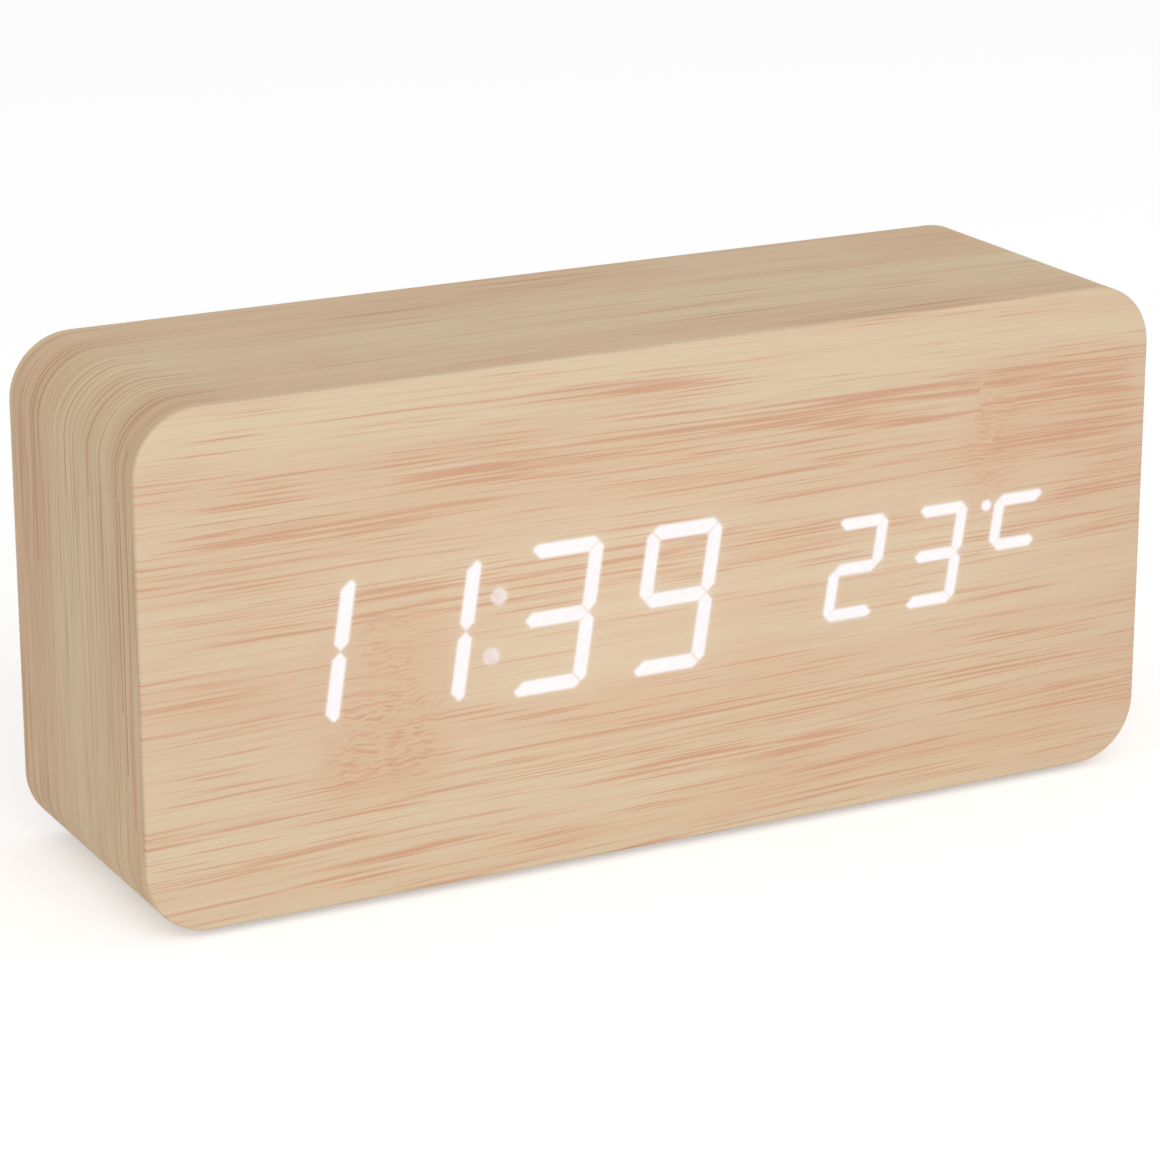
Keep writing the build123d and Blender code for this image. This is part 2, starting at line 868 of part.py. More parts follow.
# Power inlet: a body on the board with a round mouth, and its centre pin
jack_floor_y = key_board_back_y + jack_bore_floor
with BuildPart() as power_jack:
    blocks_between(key_board_back_y, panel_front_y, [jack_at], jack_size, jack_size)
    rods_between(key_board_back_y, back_y, [jack_at], jack_nose_radius)
    rods_between(jack_floor_y, back_y + cut_overrun, [jack_at], jack_bore_radius, Mode.SUBTRACT)
    mouth = power_jack.faces().sort_by(Axis.Y)[-1].inner_wires()[0]
    chamfer(mouth.edges(), jack_mouth_chamfer)
save("power_jack", power_jack.part)

with BuildPart() as jack_pin:
    rods_between(jack_floor_y, jack_floor_y + jack_pin_length, [jack_at], jack_pin_radius)
save("jack_pin", jack_pin.part)

buzzer_back_y = panel_front_y - buzzer_air_gap
with BuildPart() as buzzer:
    rods_between(key_board_back_y, buzzer_back_y, [buzzer_at], buzzer_radius)
    rods_between(
        buzzer_back_y - buzzer_hole_depth,
        buzzer_back_y + cut_overrun,
        [buzzer_at],
        buzzer_hole_radius,
        Mode.SUBTRACT,
    )
save("buzzer", buzzer.part)

with BuildPart() as microphone:
    rods_between(
        key_board_back_y, panel_front_y - microphone_air_gap, [microphone_at], microphone_radius
    )
save("microphone", microphone.part)

# Temperature sensor: a bead in its hole in the back, on two stiff wires from the board
bead_back_y = back_y - bead_recess
sensor_wire_places = [
    (thermistor_at[0], key_row + side * sensor_wire_half_pitch) for side in (-1, 1)
]
with BuildPart() as thermistor:
    rods_between(bead_back_y - bead_length, bead_back_y, [thermistor_at], bead_radius)
    fillet(thermistor.edges(), bead_radius - sensor_wire_half_pitch)
    rods_between(key_board_back_y, bead_back_y - bead_length / 2, sensor_wire_places, sensor_wire_radius)
save("thermistor", thermistor.part)

# Ribbon between the boards, with a header at each end
display_header_at = board_place(display_header_shares)
key_header_at = (display_header_at[0], key_row)
with BuildPart() as display_header:
    blocks_between(
        board_back_y, board_back_y + header_depth, [display_header_at], header_width, header_height
    )
save("display_header", display_header.part)

with BuildPart() as key_header:
    blocks_between(
        key_board_front_y - header_depth, key_board_front_y, [key_header_at], header_width, header_height
    )
save("key_header", key_header.part)

ribbon_start_y = board_back_y + header_depth
ribbon_end_y = key_board_front_y - header_depth
ribbon_turn_y = (ribbon_start_y + ribbon_end_y) / 2
with BuildPart() as link_cable:
    with BuildLine(Plane.YZ.offset(display_header_at[0])) as ribbon_path:
        FilletPolyline(
            (ribbon_start_y, middle_z + display_header_at[1]),
            (ribbon_turn_y, middle_z + display_header_at[1]),
            (ribbon_turn_y, middle_z + key_row),
            (ribbon_end_y, middle_z + key_row),
            radius=ribbon_bend_radius,
        )
    with BuildSketch(Plane(origin=ribbon_path.line @ 0, x_dir=(1, 0, 0), z_dir=ribbon_path.line % 0)):
        Rectangle(ribbon_width, ribbon_thickness)
    sweep()
save("link_cable", link_cable.part)

# Battery tray, let into the underside: two bays end to end, two cells side by side in each
with BuildPart() as battery_tray:
    columns_between(case_bottom, tray_top, [(0, 0)], tray_length, tray_width)
    columns_between(case_bottom, case_bottom + flange_thickness, [(0, 0)], flange_length, flange_span)
    columns_between(
        case_bottom - cut_overrun, bay_floor, [(0, 0)], tray_inner_length, tray_inner_width, Mode.SUBTRACT
    )
    bay_offset = (bay_length + tray_partition) / 2
    bay_places = [(-bay_offset, 0), (bay_offset, 0)]
    columns_between(case_bottom, bay_roof, bay_places, bay_length, tray_inner_width, Mode.SUBTRACT)
    with BuildSketch(level_plane(case_bottom)):
        with Locations((0, tray_inner_width / 2)):
            Circle(notch_radius)
    extrude(amount=flange_thickness, mode=Mode.SUBTRACT)
    with BuildSketch(Plane.YZ.offset(-door_length / 2)):
        with Locations((hinge_y, hinge_z)):
            Circle(hinge_pin_radius + hinge_pin_clearance)
    extrude(amount=-(door_gap + hinge_pin_length + hinge_pin_end_gap), mode=Mode.SUBTRACT)
    with BuildSketch(Plane.YZ.offset(door_length / 2)):
        with Locations((hinge_y, hinge_z)):
            Circle(hinge_pin_radius + hinge_pin_clearance)
    extrude(amount=door_gap + hinge_pin_length + hinge_pin_end_gap, mode=Mode.SUBTRACT)
    with BuildSketch(Plane.YZ):
        with Locations((middle_y - row_offset, cell_z), (middle_y + row_offset, cell_z)):
            Rectangle(link_size + 2 * link_clearance, link_size + 2 * link_clearance)
    extrude(amount=tray_partition / 2, both=True, mode=Mode.SUBTRACT)
    with BuildSketch(Plane.YZ.offset(tray_inner_length / 2)):
        with Locations((middle_y - row_offset, cell_z), (middle_y + row_offset, cell_z)):
            Rectangle(tab_width + 2 * tab_clearance, contact_sheet + 2 * tab_clearance)
    extrude(amount=tray_end_wall, mode=Mode.SUBTRACT)
    with Locations(Plane(origin=(0, middle_y, case_bottom), x_dir=(1, 0, 0), z_dir=(0, 0, -1))):
        with GridLocations(tray_screw_span, 0, 2, 1):
            CounterSinkHole(
                tray_screw_radius + screw_clearance,
                tray_screw_head_radius,
                flange_thickness,
                countersink_angle,
            )
save("battery_tray", battery_tray.part)

tray_screw = countersunk_screw(
    tray_screw_head_radius,
    tray_screw_radius,
    tray_screw_length,
    tray_screw_cross,
    tray_screw_slot,
    tray_screw_slot_depth,
)
with BuildPart() as tray_screws:
    with Locations(Plane(origin=(0, middle_y, case_bottom), x_dir=(1, 0, 0), z_dir=(0, 0, -1))):
        with GridLocations(tray_screw_span, 0, 2, 1):
            add(tray_screw)
save("tray_screws", tray_screws.part)

# Battery door: round along its hinged edge, with a pin at each end, two catches and grip grooves
with BuildPart() as battery_door:
    with BuildSketch(Plane.YZ):
        with Locations((hinge_y, hinge_z)):
            Circle(door_thickness / 2)
        with Locations(((hinge_y + door_rear_y) / 2, hinge_z)):
            Rectangle(door_rear_y - hinge_y, door_thickness)
    extrude(amount=door_length / 2, both=True)
    with BuildSketch(Plane.YZ):
        with Locations((hinge_y, hinge_z)):
            Circle(hinge_pin_radius)
    extrude(amount=door_length / 2 + door_gap + hinge_pin_length, both=True)
    for side in (-catch_pitch / 2, catch_pitch / 2):
        with BuildSketch(Plane.YZ.offset(side)):
            with Locations((door_rear_y, hinge_z)):
                Circle(catch_radius)
        extrude(amount=catch_length / 2, both=True)
    first_grip = door_rear_y - middle_y - grip_inset
    columns_between(
        case_bottom - cut_overrun,
        case_bottom + grip_depth,
        [(0, first_grip - groove * grip_pitch) for groove in range(grip_count)],
        grip_length,
        grip_width,
        Mode.SUBTRACT,
    )
save("battery_door", battery_door.part)


def dry_cell():
    """A cell lying along +X, with its flat end on the YZ plane."""
    with BuildPart() as cell:
        with BuildSketch(Plane.YZ):
            Circle(cell_radius)
        extrude(amount=cell_length - nub_height)
        fillet(cell.edges().filter_by(GeomType.CIRCLE), cell_edge_radius)
        with BuildSketch(Plane.YZ.offset(cell_length - nub_height)):
            Circle(nub_radius)
        extrude(amount=nub_height)
    return cell.part


def contact_spring():
    """A coil along +X, seated just clear of the YZ plane and of the cell beyond it."""
    seat = spring_wire_radius + spring_seat_gap
    with BuildPart() as spring:
        with BuildLine() as coil:
            Helix(
                spring_pitch,
                spring_length - 2 * seat,
                spring_radius,
                center=(seat, 0, 0),
                direction=(1, 0, 0),
            )
        with BuildSketch(Plane(origin=coil.line @ 0, z_dir=coil.line % 0)):
            Circle(spring_wire_radius)
        sweep(is_frenet=True)
    return spring.part


# The front row's cells point to the right and the rear row's to the left
half_inner = tray_inner_length / 2
half_partition = tray_partition / 2
spring_seats = [
    Location((contact_sheet - half_inner, middle_y - row_offset, cell_z)),
    Location((half_partition + contact_sheet, middle_y - row_offset, cell_z)),
    Location((-half_partition - contact_sheet, middle_y + row_offset, cell_z), (0, 0, 180)),
    Location((half_inner - contact_sheet, middle_y + row_offset, cell_z), (0, 0, 180)),
]
cell_seats = [seat * Location((spring_length, 0, 0)) for seat in spring_seats]

single_cell = dry_cell()
with BuildPart() as battery_cells:
    with Locations(*cell_seats):
        add(single_cell)
save("battery_cells", battery_cells.part)

single_spring = contact_spring()
with BuildPart() as contact_springs:
    with Locations(*spring_seats):
        add(single_spring)
save("contact_springs", contact_springs.part)

# Contacts: a bridge across the left end, links through the partition, terminals at the right end
plate_height = 2 * (cell_radius - contact_margin)
row_ys = (middle_y - row_offset, middle_y + row_offset)
with BuildPart() as contact_bridge:
    with BuildSketch(Plane.YZ.offset(-half_inner)):
        with Locations((middle_y, cell_z)):
            Rectangle(2 * row_offset + plate_height, plate_height)
    extrude(amount=contact_sheet)
save("contact_bridge", contact_bridge.part)

with BuildPart() as contact_links:
    for row_y in row_ys:
        for side in (-half_partition - contact_sheet, half_partition):
            with BuildSketch(Plane.YZ.offset(side)):
                with Locations((row_y, cell_z)):
                    Rectangle(plate_height, plate_height)
            extrude(amount=contact_sheet)
        with BuildSketch(Plane.YZ):
            with Locations((row_y, cell_z)):
                Rectangle(link_size, link_size)
        extrude(amount=half_partition, both=True)
save("contact_links", contact_links.part)

with BuildPart() as contact_terminals:
    for row_y in row_ys:
        with BuildSketch(Plane.YZ.offset(half_inner - contact_sheet)):
            with Locations((row_y, cell_z)):
                Rectangle(plate_height, plate_height)
        extrude(amount=contact_sheet)
        with BuildSketch(Plane.YZ.offset(half_inner)):
            with Locations((row_y, cell_z)):
                Rectangle(tab_width, contact_sheet)
        extrude(amount=tray_end_wall + tab_length)
save("contact_terminals", contact_terminals.part)

# Leads from the terminals up to the display board
tab_x = half_inner + tray_end_wall + tab_length / 2
tab_top = cell_z + contact_sheet / 2
lead_low_z = middle_z - board_height / 2 + lead_inset
lead_bend_radius = lead_bend_share * (row_ys[0] - board_back_y)
for lead_name, row_y, lead_z in (
    ("positive_lead", row_ys[0], lead_low_z),
    ("negative_lead", row_ys[1], lead_low_z + lead_pitch),
):
    with BuildPart() as lead:
        with BuildLine() as lead_path:
            FilletPolyline(
                (tab_x, row_y, tab_top),
                (tab_x, row_y, lead_z),
                (tab_x, board_back_y, lead_z),
                radius=lead_bend_radius,
            )
        with BuildSketch(Plane(origin=lead_path.line @ 0, z_dir=lead_path.line % 0)):
            Circle(lead_radius)
        sweep()
    save(lead_name, lead.part)
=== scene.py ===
"""Dresses a packed wood-look desk clock: bamboo veneer, lit digits, plastics, metals and a plain studio."""
import json
import logging
import math
from dataclasses import dataclass
from enum import Enum

import bmesh
import bpy
import numpy as np
from mathutils import Color, Matrix, Vector
from mathutils.geometry import delaunay_2d_cdt


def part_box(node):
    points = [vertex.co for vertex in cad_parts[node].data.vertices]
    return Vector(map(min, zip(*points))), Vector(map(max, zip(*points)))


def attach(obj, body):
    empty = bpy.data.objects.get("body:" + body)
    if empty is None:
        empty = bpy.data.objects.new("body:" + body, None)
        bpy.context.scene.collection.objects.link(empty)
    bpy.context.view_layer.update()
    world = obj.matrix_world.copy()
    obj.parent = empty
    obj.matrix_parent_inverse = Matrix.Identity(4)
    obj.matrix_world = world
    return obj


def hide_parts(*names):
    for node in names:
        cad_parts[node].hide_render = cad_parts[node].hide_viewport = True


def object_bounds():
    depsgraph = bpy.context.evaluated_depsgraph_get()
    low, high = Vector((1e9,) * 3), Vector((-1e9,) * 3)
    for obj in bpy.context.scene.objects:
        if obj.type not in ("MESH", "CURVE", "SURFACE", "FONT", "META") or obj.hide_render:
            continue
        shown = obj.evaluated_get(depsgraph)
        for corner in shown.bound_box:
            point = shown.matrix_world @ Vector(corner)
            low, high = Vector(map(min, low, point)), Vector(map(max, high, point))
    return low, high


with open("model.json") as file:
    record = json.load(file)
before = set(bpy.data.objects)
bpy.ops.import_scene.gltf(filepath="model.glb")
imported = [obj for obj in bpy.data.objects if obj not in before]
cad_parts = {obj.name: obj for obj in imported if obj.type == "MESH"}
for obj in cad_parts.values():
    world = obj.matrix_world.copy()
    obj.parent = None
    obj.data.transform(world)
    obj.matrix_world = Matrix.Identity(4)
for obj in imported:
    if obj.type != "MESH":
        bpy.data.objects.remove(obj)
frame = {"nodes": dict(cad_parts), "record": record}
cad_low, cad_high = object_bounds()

log = logging.getLogger("desk_clock")

Socket = bpy.types.NodeSocket
Colour = tuple[float, float, float]
Step = tuple[float, float]
Face = tuple[int, ...]
Stop = tuple[Vector, Vector]

ROOT_BODY = "clock"
WRAP_ATTRIBUTE = "wrap"
GLOW_ATTRIBUTE = "glow"
NUMBER = "NodeSocketFloat"
VECTOR = "NodeSocketVector"
PAINT = "NodeSocketColor"
FULL_SHADE = 255
TOLERANCE = 1e-6
SHARP_ANGLE = math.radians(40)


def shade(red: int, green: int, blue: int) -> Colour:
    """Turns a colour as a display shows it, each part from 0 to 255, into linear scene light."""
    return tuple(Color([part / FULL_SHADE for part in (red, green, blue)]).from_srgb_to_scene_linear())


class Grain(Enum):
    """Which way a veneer's strands run, and so what gives their coordinates."""

    FRONT = "level, read from the front's left and top edges"
    WRAP = "round the case, read from the wrapped sheet's own attribute"
    REAR = "level, read from the back's left and top edges"


@dataclass(frozen=True)
class Flow:
    """A value on its way through a node tree, with which sums can be written."""

    graph: "Graph"
    socket: Socket

    def __add__(self, other: "Feed") -> "Flow":
        """Adds a value."""
        return self.graph.math("ADD", self, other)

    def __sub__(self, other: "Feed") -> "Flow":
        """Takes a value away."""
        return self.graph.math("SUBTRACT", self, other)

    def __rsub__(self, other: "Feed") -> "Flow":
        """Takes this value away from another one."""
        return self.graph.math("SUBTRACT", other, self)

    def __mul__(self, other: "Feed") -> "Flow":
        """Multiplies by a value."""
        return self.graph.math("MULTIPLY", self, other)

    def __truediv__(self, other: "Feed") -> "Flow":
        """Divides by a value."""
        return self.graph.math("DIVIDE", self, other)

    def __rtruediv__(self, other: "Feed") -> "Flow":
        """Divides another value by this one."""
        return self.graph.math("DIVIDE", other, self)

    def __abs__(self) -> "Flow":
        """Drops the sign."""
        return self.graph.math("ABSOLUTE", self)


Feed = Flow | float | tuple[float, ...]
Fed = dict[str | int, Feed]
Surface = dict[str, Feed]
Place = tuple[Feed, Feed]


@dataclass(frozen=True)
class Layer:
    """A stretched noise: its lengths in metres along and across, its seed and its finer layers."""

    along: float
    across: float
    seed: float
    detail: float = 1.0
    roughness: float = 0.5


class Graph:
    """Short calls that add nodes to one tree and join them."""

    def __init__(self, tree: bpy.types.NodeTree) -> None:
        """Keeps the tree that the nodes go into."""
        self.tree = tree

    def feed(self, socket: Socket, value: Feed) -> None:
        """Links a socket to a value in the tree, or writes a plain value into it.

        Args:
            socket: The input to feed.
            value: A value in the tree, a number or a colour.
        """
        if isinstance(value, Flow):
            self.tree.links.new(value.socket, socket)
        elif socket.type == "RGBA":
            socket.default_value = (*value, 1.0)
        else:
            socket.default_value = value

    def add(self, kind: str, fed: Fed | None = None, **settings: object) -> bpy.types.Node:
        """Adds a node.

        Args:
            kind: Blender's name of the node type.
            fed: What goes into its inputs, by name or number.
            **settings: Properties of the node itself.

        Returns:
            The new node.
        """
        node = self.tree.nodes.new(kind)
        for name, value in settings.items():
            setattr(node, name, value)
        for socket, value in (fed or {}).items():
            self.feed(node.inputs[socket], value)
        return node

    def get(self, kind: str, output: str | int, fed: Fed | None = None, **settings: object) -> Flow:
        """Adds a node and gives one of its outputs."""
        return Flow(self, self.add(kind, fed, **settings).outputs[output])

    def flows(self, node: bpy.types.Node) -> dict[str, Flow]:
        """Gives all outputs of a node by name."""
        return {socket.name: Flow(self, socket) for socket in node.outputs}

    def find(self, kind: str) -> bpy.types.Node:
        """Finds the tree's first node of a type."""
        return next(node for node in self.tree.nodes if node.type == kind)

    def math(self, operation: str, *values: Feed) -> Flow:
        """Adds a Math node."""
        return self.get("ShaderNodeMath", 0, dict(enumerate(values)), operation=operation)

    def rise(self, value: Feed, low: Feed, high: Feed) -> Flow:
        """Adds a smooth step from 0 to 1, between two values."""
        fed = {"Value": value, "From Min": low, "From Max": high}
        return self.get("ShaderNodeMapRange", "Result", fed, interpolation_type="SMOOTHSTEP")

    def mix(self, share: Feed, first: Feed, second: Feed, blend: str = "MIX") -> Flow:
        """Adds a colour mix.

        Args:
            share: How much of the second colour there is, from 0 to 1.
            first: The colour at 0.
            second: The colour at 1.
            blend: How they are mixed.

        Returns:
            The mixed colour.
        """
        node = self.add("ShaderNodeMix", {"Factor": share}, data_type="RGBA", blend_type=blend)
        colours = [socket for socket in node.inputs if socket.type == "RGBA"]
        self.feed(colours[0], first)
        self.feed(colours[1], second)
        return Flow(self, next(socket for socket in node.outputs if socket.type == "RGBA"))

    def combine(self, x: Feed, y: Feed, z: Feed) -> Flow:
        """Adds a vector made of three numbers."""
        return self.get("ShaderNodeCombineXYZ", 0, {0: x, 1: y, 2: z})

    def tint(self, colour: Feed, share: Feed) -> Flow:
        """Multiplies a colour by a number."""
        return self.mix(1.0, colour, self.combine(share, share, share), "MULTIPLY")

    def parts(self, vector: Feed) -> list[Flow]:
        """Splits a vector into its three numbers."""
        return list(self.flows(self.add("ShaderNodeSeparateXYZ", {0: vector})).values())

    def place(self) -> Flow:
        """Gives where a point of the piece is, in metres in the clock's frame."""
        return self.get("ShaderNodeTexCoord", "Object")

    def attribute(self, name: str) -> list[Flow]:
        """Reads the three numbers that the mesh itself holds under a name."""
        return self.parts(self.get("ShaderNodeAttribute", "Vector", attribute_name=name))

    def noise(self, place: Place, layer: Layer, seed: Feed = 0.0) -> Flow:
        """Adds noise stretched along the strands.

        Args:
            place: Where along and across the strands, in metres.
            layer: How the noise is stretched.
            seed: What is added to the layer's own seed.

        Returns:
            The noise, around 0.5.
        """
        vector = self.combine(place[0] / layer.along, place[1] / layer.across, seed + layer.seed)
        fed = {"Vector": vector, "Scale": 1.0, "Detail": layer.detail, "Roughness": layer.roughness}
        return self.get("ShaderNodeTexNoise", "Fac", fed)

    def speckle(self, vector: Feed, length: Feed, detail: float = 2.0) -> Flow:
        """Adds noise that is alike in all directions and has a length in metres."""
        fed = {"Vector": vector, "Scale": 1.0 / length, "Detail": detail}
        return self.get("ShaderNodeTexNoise", "Fac", fed)


class SharedGroup:
    """A node group that is built once and placed in many materials."""

    name: str = ""
    inputs: dict[str, str] = {}
    outputs: dict[str, str] = {"Base Color": PAINT, "Roughness": NUMBER, "Height": NUMBER}

    def wire(self, graph: Graph, given: dict[str, Flow]) -> Surface:
        """Adds the group's own nodes and gives what goes out."""
        raise NotImplementedError

    def tree(self) -> bpy.types.NodeTree:
        """Builds the group's tree, or finds the one that was built before.

        Returns:
            The node tree that materials place.
        """
        found = bpy.data.node_groups.get(self.name)
        if found:
            return found
        tree = bpy.data.node_groups.new(self.name, "ShaderNodeTree")
        for label, kind in self.inputs.items():
            tree.interface.new_socket(label, in_out="INPUT", socket_type=kind)
        for label, kind in self.outputs.items():
            tree.interface.new_socket(label, in_out="OUTPUT", socket_type=kind)
        graph = Graph(tree)
        graph.add("NodeGroupOutput", self.wire(graph, graph.flows(graph.add("NodeGroupInput"))))
        return tree

    def put(self, graph: Graph, values: Surface) -> Surface:
        """Places the group in a material and gives its outputs by name."""
        return graph.flows(graph.add("ShaderNodeGroup", values, node_tree=self.tree()))


class SoftArea(SharedGroup):
    """A soft-edged rectangle on a veneer."""

    name = "soft_area"
    inputs = dict.fromkeys(
        ("Along", "Across", "Middle Along", "Half Along", "Middle Across", "Half Across", "Soft"), NUMBER
    )
    outputs = {"Mask": NUMBER}

    def wire(self, graph: Graph, given: dict[str, Flow]) -> Surface:
        """Multiplies a soft step along the strands by one across them.

        Args:
            graph: The group's nodes.
            given: The group's inputs.

        Returns:
            The mask.
        """
        steps = []
        for axis in ("Along", "Across"):
            inside = given[f"Half {axis}"] - abs(given[axis] - given[f"Middle {axis}"])
            steps.append(graph.rise(inside, 0.0 - given["Soft"], given["Soft"]))
        return {"Mask": steps[0] * steps[1]}


class BambooStrands(SharedGroup):
    """Pressed bamboo: pale strands, salmon streaks, thin dark lines and rippled knots."""

    name = "bamboo_strands"
    inputs = {
        **dict.fromkeys(("Along", "Across", "Seed", "Density", "Knot", "Lines", "Warmth"), NUMBER),
        **dict.fromkeys(("Pale", "Warm", "Streak", "Line"), PAINT),
    }

    slow_bend = Layer(0.060, 0.030, 0.0)
    ripple = Layer(0.0030, 0.0040, 3.1, 2.0)
    cluster = Layer(0.045, 0.0034, 5.3)
    bold = Layer(0.030, 0.00050, 8.7, 2.0)
    fine = Layer(0.022, 0.00038, 15.1)
    hair = Layer(0.026, 0.00030, 17.1)
    speck = Layer(0.0024, 0.00048, 11.9, 2.0)
    cloud = Layer(0.0050, 0.0040, 13.3)
    broad = Layer(0.150, 0.0080, 21.7)
    soft = Layer(0.034, 0.0030, 23.3, 2.0)
    fibre = Layer(0.0120, 0.00017, 25.9, 2.0)
    noise_middle = 0.5
    slow_bend_size = 0.0010
    ripple_size = 0.0013
    sparse_cut = 0.775
    density_gain = -0.12
    cluster_gain = -0.26
    fine_drop = 0.02
    halo_below = 0.09
    halo_above = 0.08
    strand_rise = 0.12
    hair_step = (0.54, 0.70)
    speck_step = (0.47, 0.62)
    cloud_step = (0.25, 0.55)
    speck_share = 0.75
    soft_share = 0.5
    broad_share = 0.5
    cluster_share = 0.30
    tone_drop = 0.15
    tone_step = (0.28, 0.78)
    halo_share = 0.55
    line_share = 0.70
    least_grey = 0.96
    fibre_grey = 0.08
    least_rough = 0.50
    line_rough = 0.08
    fibre_rough = 0.10
    line_height = -0.3

    def wire(self, graph: Graph, given: dict[str, Flow]) -> Surface:
        """Layers stretched noises into a colour, a roughness and a height.

        Args:
            graph: The group's nodes.
            given: The group's inputs.

        Returns:
            What feeds a shader, and the height of the relief.
        """
        across = given["Across"]

        def noise(layer: Layer) -> Flow:
            """One of the noises, with the veneer's own seed, where the strands are by now."""
            return graph.noise((given["Along"], across), layer, given["Seed"])

        bend = noise(self.slow_bend) - self.noise_middle
        wave = (noise(self.ripple) - self.noise_middle) * given["Knot"]
        across = bend * self.slow_bend_size + across + wave * self.ripple_size

        cluster = noise(self.cluster)
        cut = cluster * self.cluster_gain + (given["Density"] * self.density_gain + self.sparse_cut)
        strand = graph.math("MAXIMUM", noise(self.bold), noise(self.fine) - self.fine_drop)
        halo = graph.rise(strand, cut - self.halo_below, cut + self.halo_above)
        strand = graph.rise(strand, cut, cut + self.strand_rise)
        hair = graph.rise(noise(self.hair), *self.hair_step) * given["Lines"]
        cloud = graph.rise(noise(self.cloud), *self.cloud_step)
        speck = graph.rise(noise(self.speck), *self.speck_step) * cloud * given["Knot"] * self.speck_share
        line = graph.math("MAXIMUM", graph.math("MAXIMUM", strand, hair), speck)
        tone = noise(self.broad) * self.broad_share + noise(self.soft) * self.soft_share - self.tone_drop
        tone = graph.rise(cluster * self.cluster_share + tone + given["Warmth"], *self.tone_step)
        fibre = noise(self.fibre)

        colour = graph.mix(tone, given["Pale"], given["Warm"])
        colour = graph.mix(halo * self.halo_share, colour, given["Streak"])
        colour = graph.mix(line * self.line_share, colour, given["Line"])
        return {
            "Base Color": graph.tint(colour, fibre * self.fibre_grey + self.least_grey),
            "Roughness": fibre * self.fibre_rough + (line * self.line_rough + self.least_rough),
            "Height": line * self.line_height + fibre,
        }


class MouldedSkin(SharedGroup):
    """The fine spark-eroded grain of moulded plastic and rubber, its pits darkened with painted shade, with
    faint handling marks.
    """

    name = "moulded_skin"
    # Deep is the colour where the grain's pits take painted shade and where the smudges are dark; High where
    # the grain is raised
    inputs = {
        "Vector": VECTOR, "Grain": NUMBER, "Deep": PAINT, "High": PAINT, "Smooth": NUMBER, "Rough": NUMBER,
    }

    smudge_length = 0.009
    smudge_detail = 3.0
    smudge_share = 0.4
    smudge_step = (0.35, 0.65)
    grain_share = 0.6
    grain_step = (0.3, 0.7)

    def wire(self, graph: Graph, given: dict[str, Flow]) -> Surface:
        """Mixes a fine grain, its pits darkened with painted shade, with broad smudges.

        Args:
            graph: The group's nodes.
            given: The group's inputs.

        Returns:
            What feeds a shader, and the height of the relief.
        """
        grain = graph.speckle(given["Vector"], given["Grain"])
        smudge = graph.speckle(given["Vector"], self.smudge_length, self.smudge_detail)
        # the tone is partly painted shade that follows the grain's relief and partly the handling smudges'
        # own tone
        tone = graph.rise(grain, *self.grain_step) * self.grain_share + smudge * self.smudge_share
        worn = graph.rise(smudge, *self.smudge_step)
        return {
            "Base Color": graph.mix(tone, given["Deep"], given["High"]),
            "Roughness": (given["Rough"] - given["Smooth"]) * worn + given["Smooth"],
            "Height": grain,
        }


class MetalStreaks(SharedGroup):
    """The drawn marks and dull spots of small metal parts."""

    name = "metal_streaks"
    inputs = {"Vector": VECTOR, "Dull": PAINT, "Bright": PAINT, "Smooth": NUMBER, "Rough": NUMBER}

    marks = Layer(0.0040, 0.00012, 2.3, 2.0)
    mark_share = 0.6
    spot_length = 0.0016
    spot_step = (0.42, 0.66)
    spot_share = 0.4

    def wire(self, graph: Graph, given: dict[str, Flow]) -> Surface:
        """Mixes fine drawn marks with dull spots.

        Args:
            graph: The group's nodes.
            given: The group's inputs.

        Returns:
            What feeds a shader, and the height of the relief.
        """
        x, y, z = graph.parts(given["Vector"])
        marks = graph.noise((x, y + z), self.marks)
        spots = graph.rise(graph.speckle(given["Vector"], self.spot_length), *self.spot_step)
        tone = marks * self.mark_share + spots * self.spot_share
        return {
            "Base Color": graph.mix(tone, given["Bright"], given["Dull"]),
            "Roughness": (given["Rough"] - given["Smooth"]) * tone + given["Smooth"],
            "Height": marks,
        }


@dataclass(frozen=True)
class Finish:
    """A procedural surface: its name and how deep its relief is."""

    name: str
    relief: float = 0.00002
    relief_share: float = 0.5

    def surface(self, graph: Graph) -> Surface:
        """Gives what feeds the shader, by socket, and the Height of any relief."""
        raise NotImplementedError

    def material(self) -> bpy.types.Material:
        """Makes the material, or finds the one that was made before.

        Returns:
            The finished material.
        """
        found = bpy.data.materials.get(self.name)
        if found:
            return found
        material = bpy.data.materials.new(self.name)
        material.use_nodes = True
        graph = Graph(material.node_tree)
        fed = self.surface(graph)
        if "Height" in fed:
            relief = {"Strength": self.relief_share, "Distance": self.relief, "Height": fed.pop("Height")}
            fed["Normal"] = graph.get("ShaderNodeBump", "Normal", relief)
        shader = graph.find("BSDF_PRINCIPLED")
        for socket, value in fed.items():
            graph.feed(shader.inputs[socket], value)
        return material


@dataclass(frozen=True)
class Patch:
    """An area of a veneer, in metres along and across its strands, with what it adds there."""

    left: float
    right: float
    top: float
    bottom: float
    weight: float
    soft: float = 0.003

    def add_to(self, graph: Graph, place: Place, total: Feed) -> Flow:
        """Adds the patch to a running total.

        Args:
            graph: The material's nodes.
            place: Where along and across the strands.
            total: What has been added up so far.

        Returns:
            The new total.
        """
        values = {
            "Along": place[0],
            "Across": place[1],
            "Middle Along": (self.left + self.right) / 2,
            "Half Along": (self.right - self.left) / 2,
            "Middle Across": (self.top + self.bottom) / 2,
            "Half Across": (self.bottom - self.top) / 2,
            "Soft": self.soft,
        }
        return SoftArea().put(graph, values)["Mask"] * self.weight + total


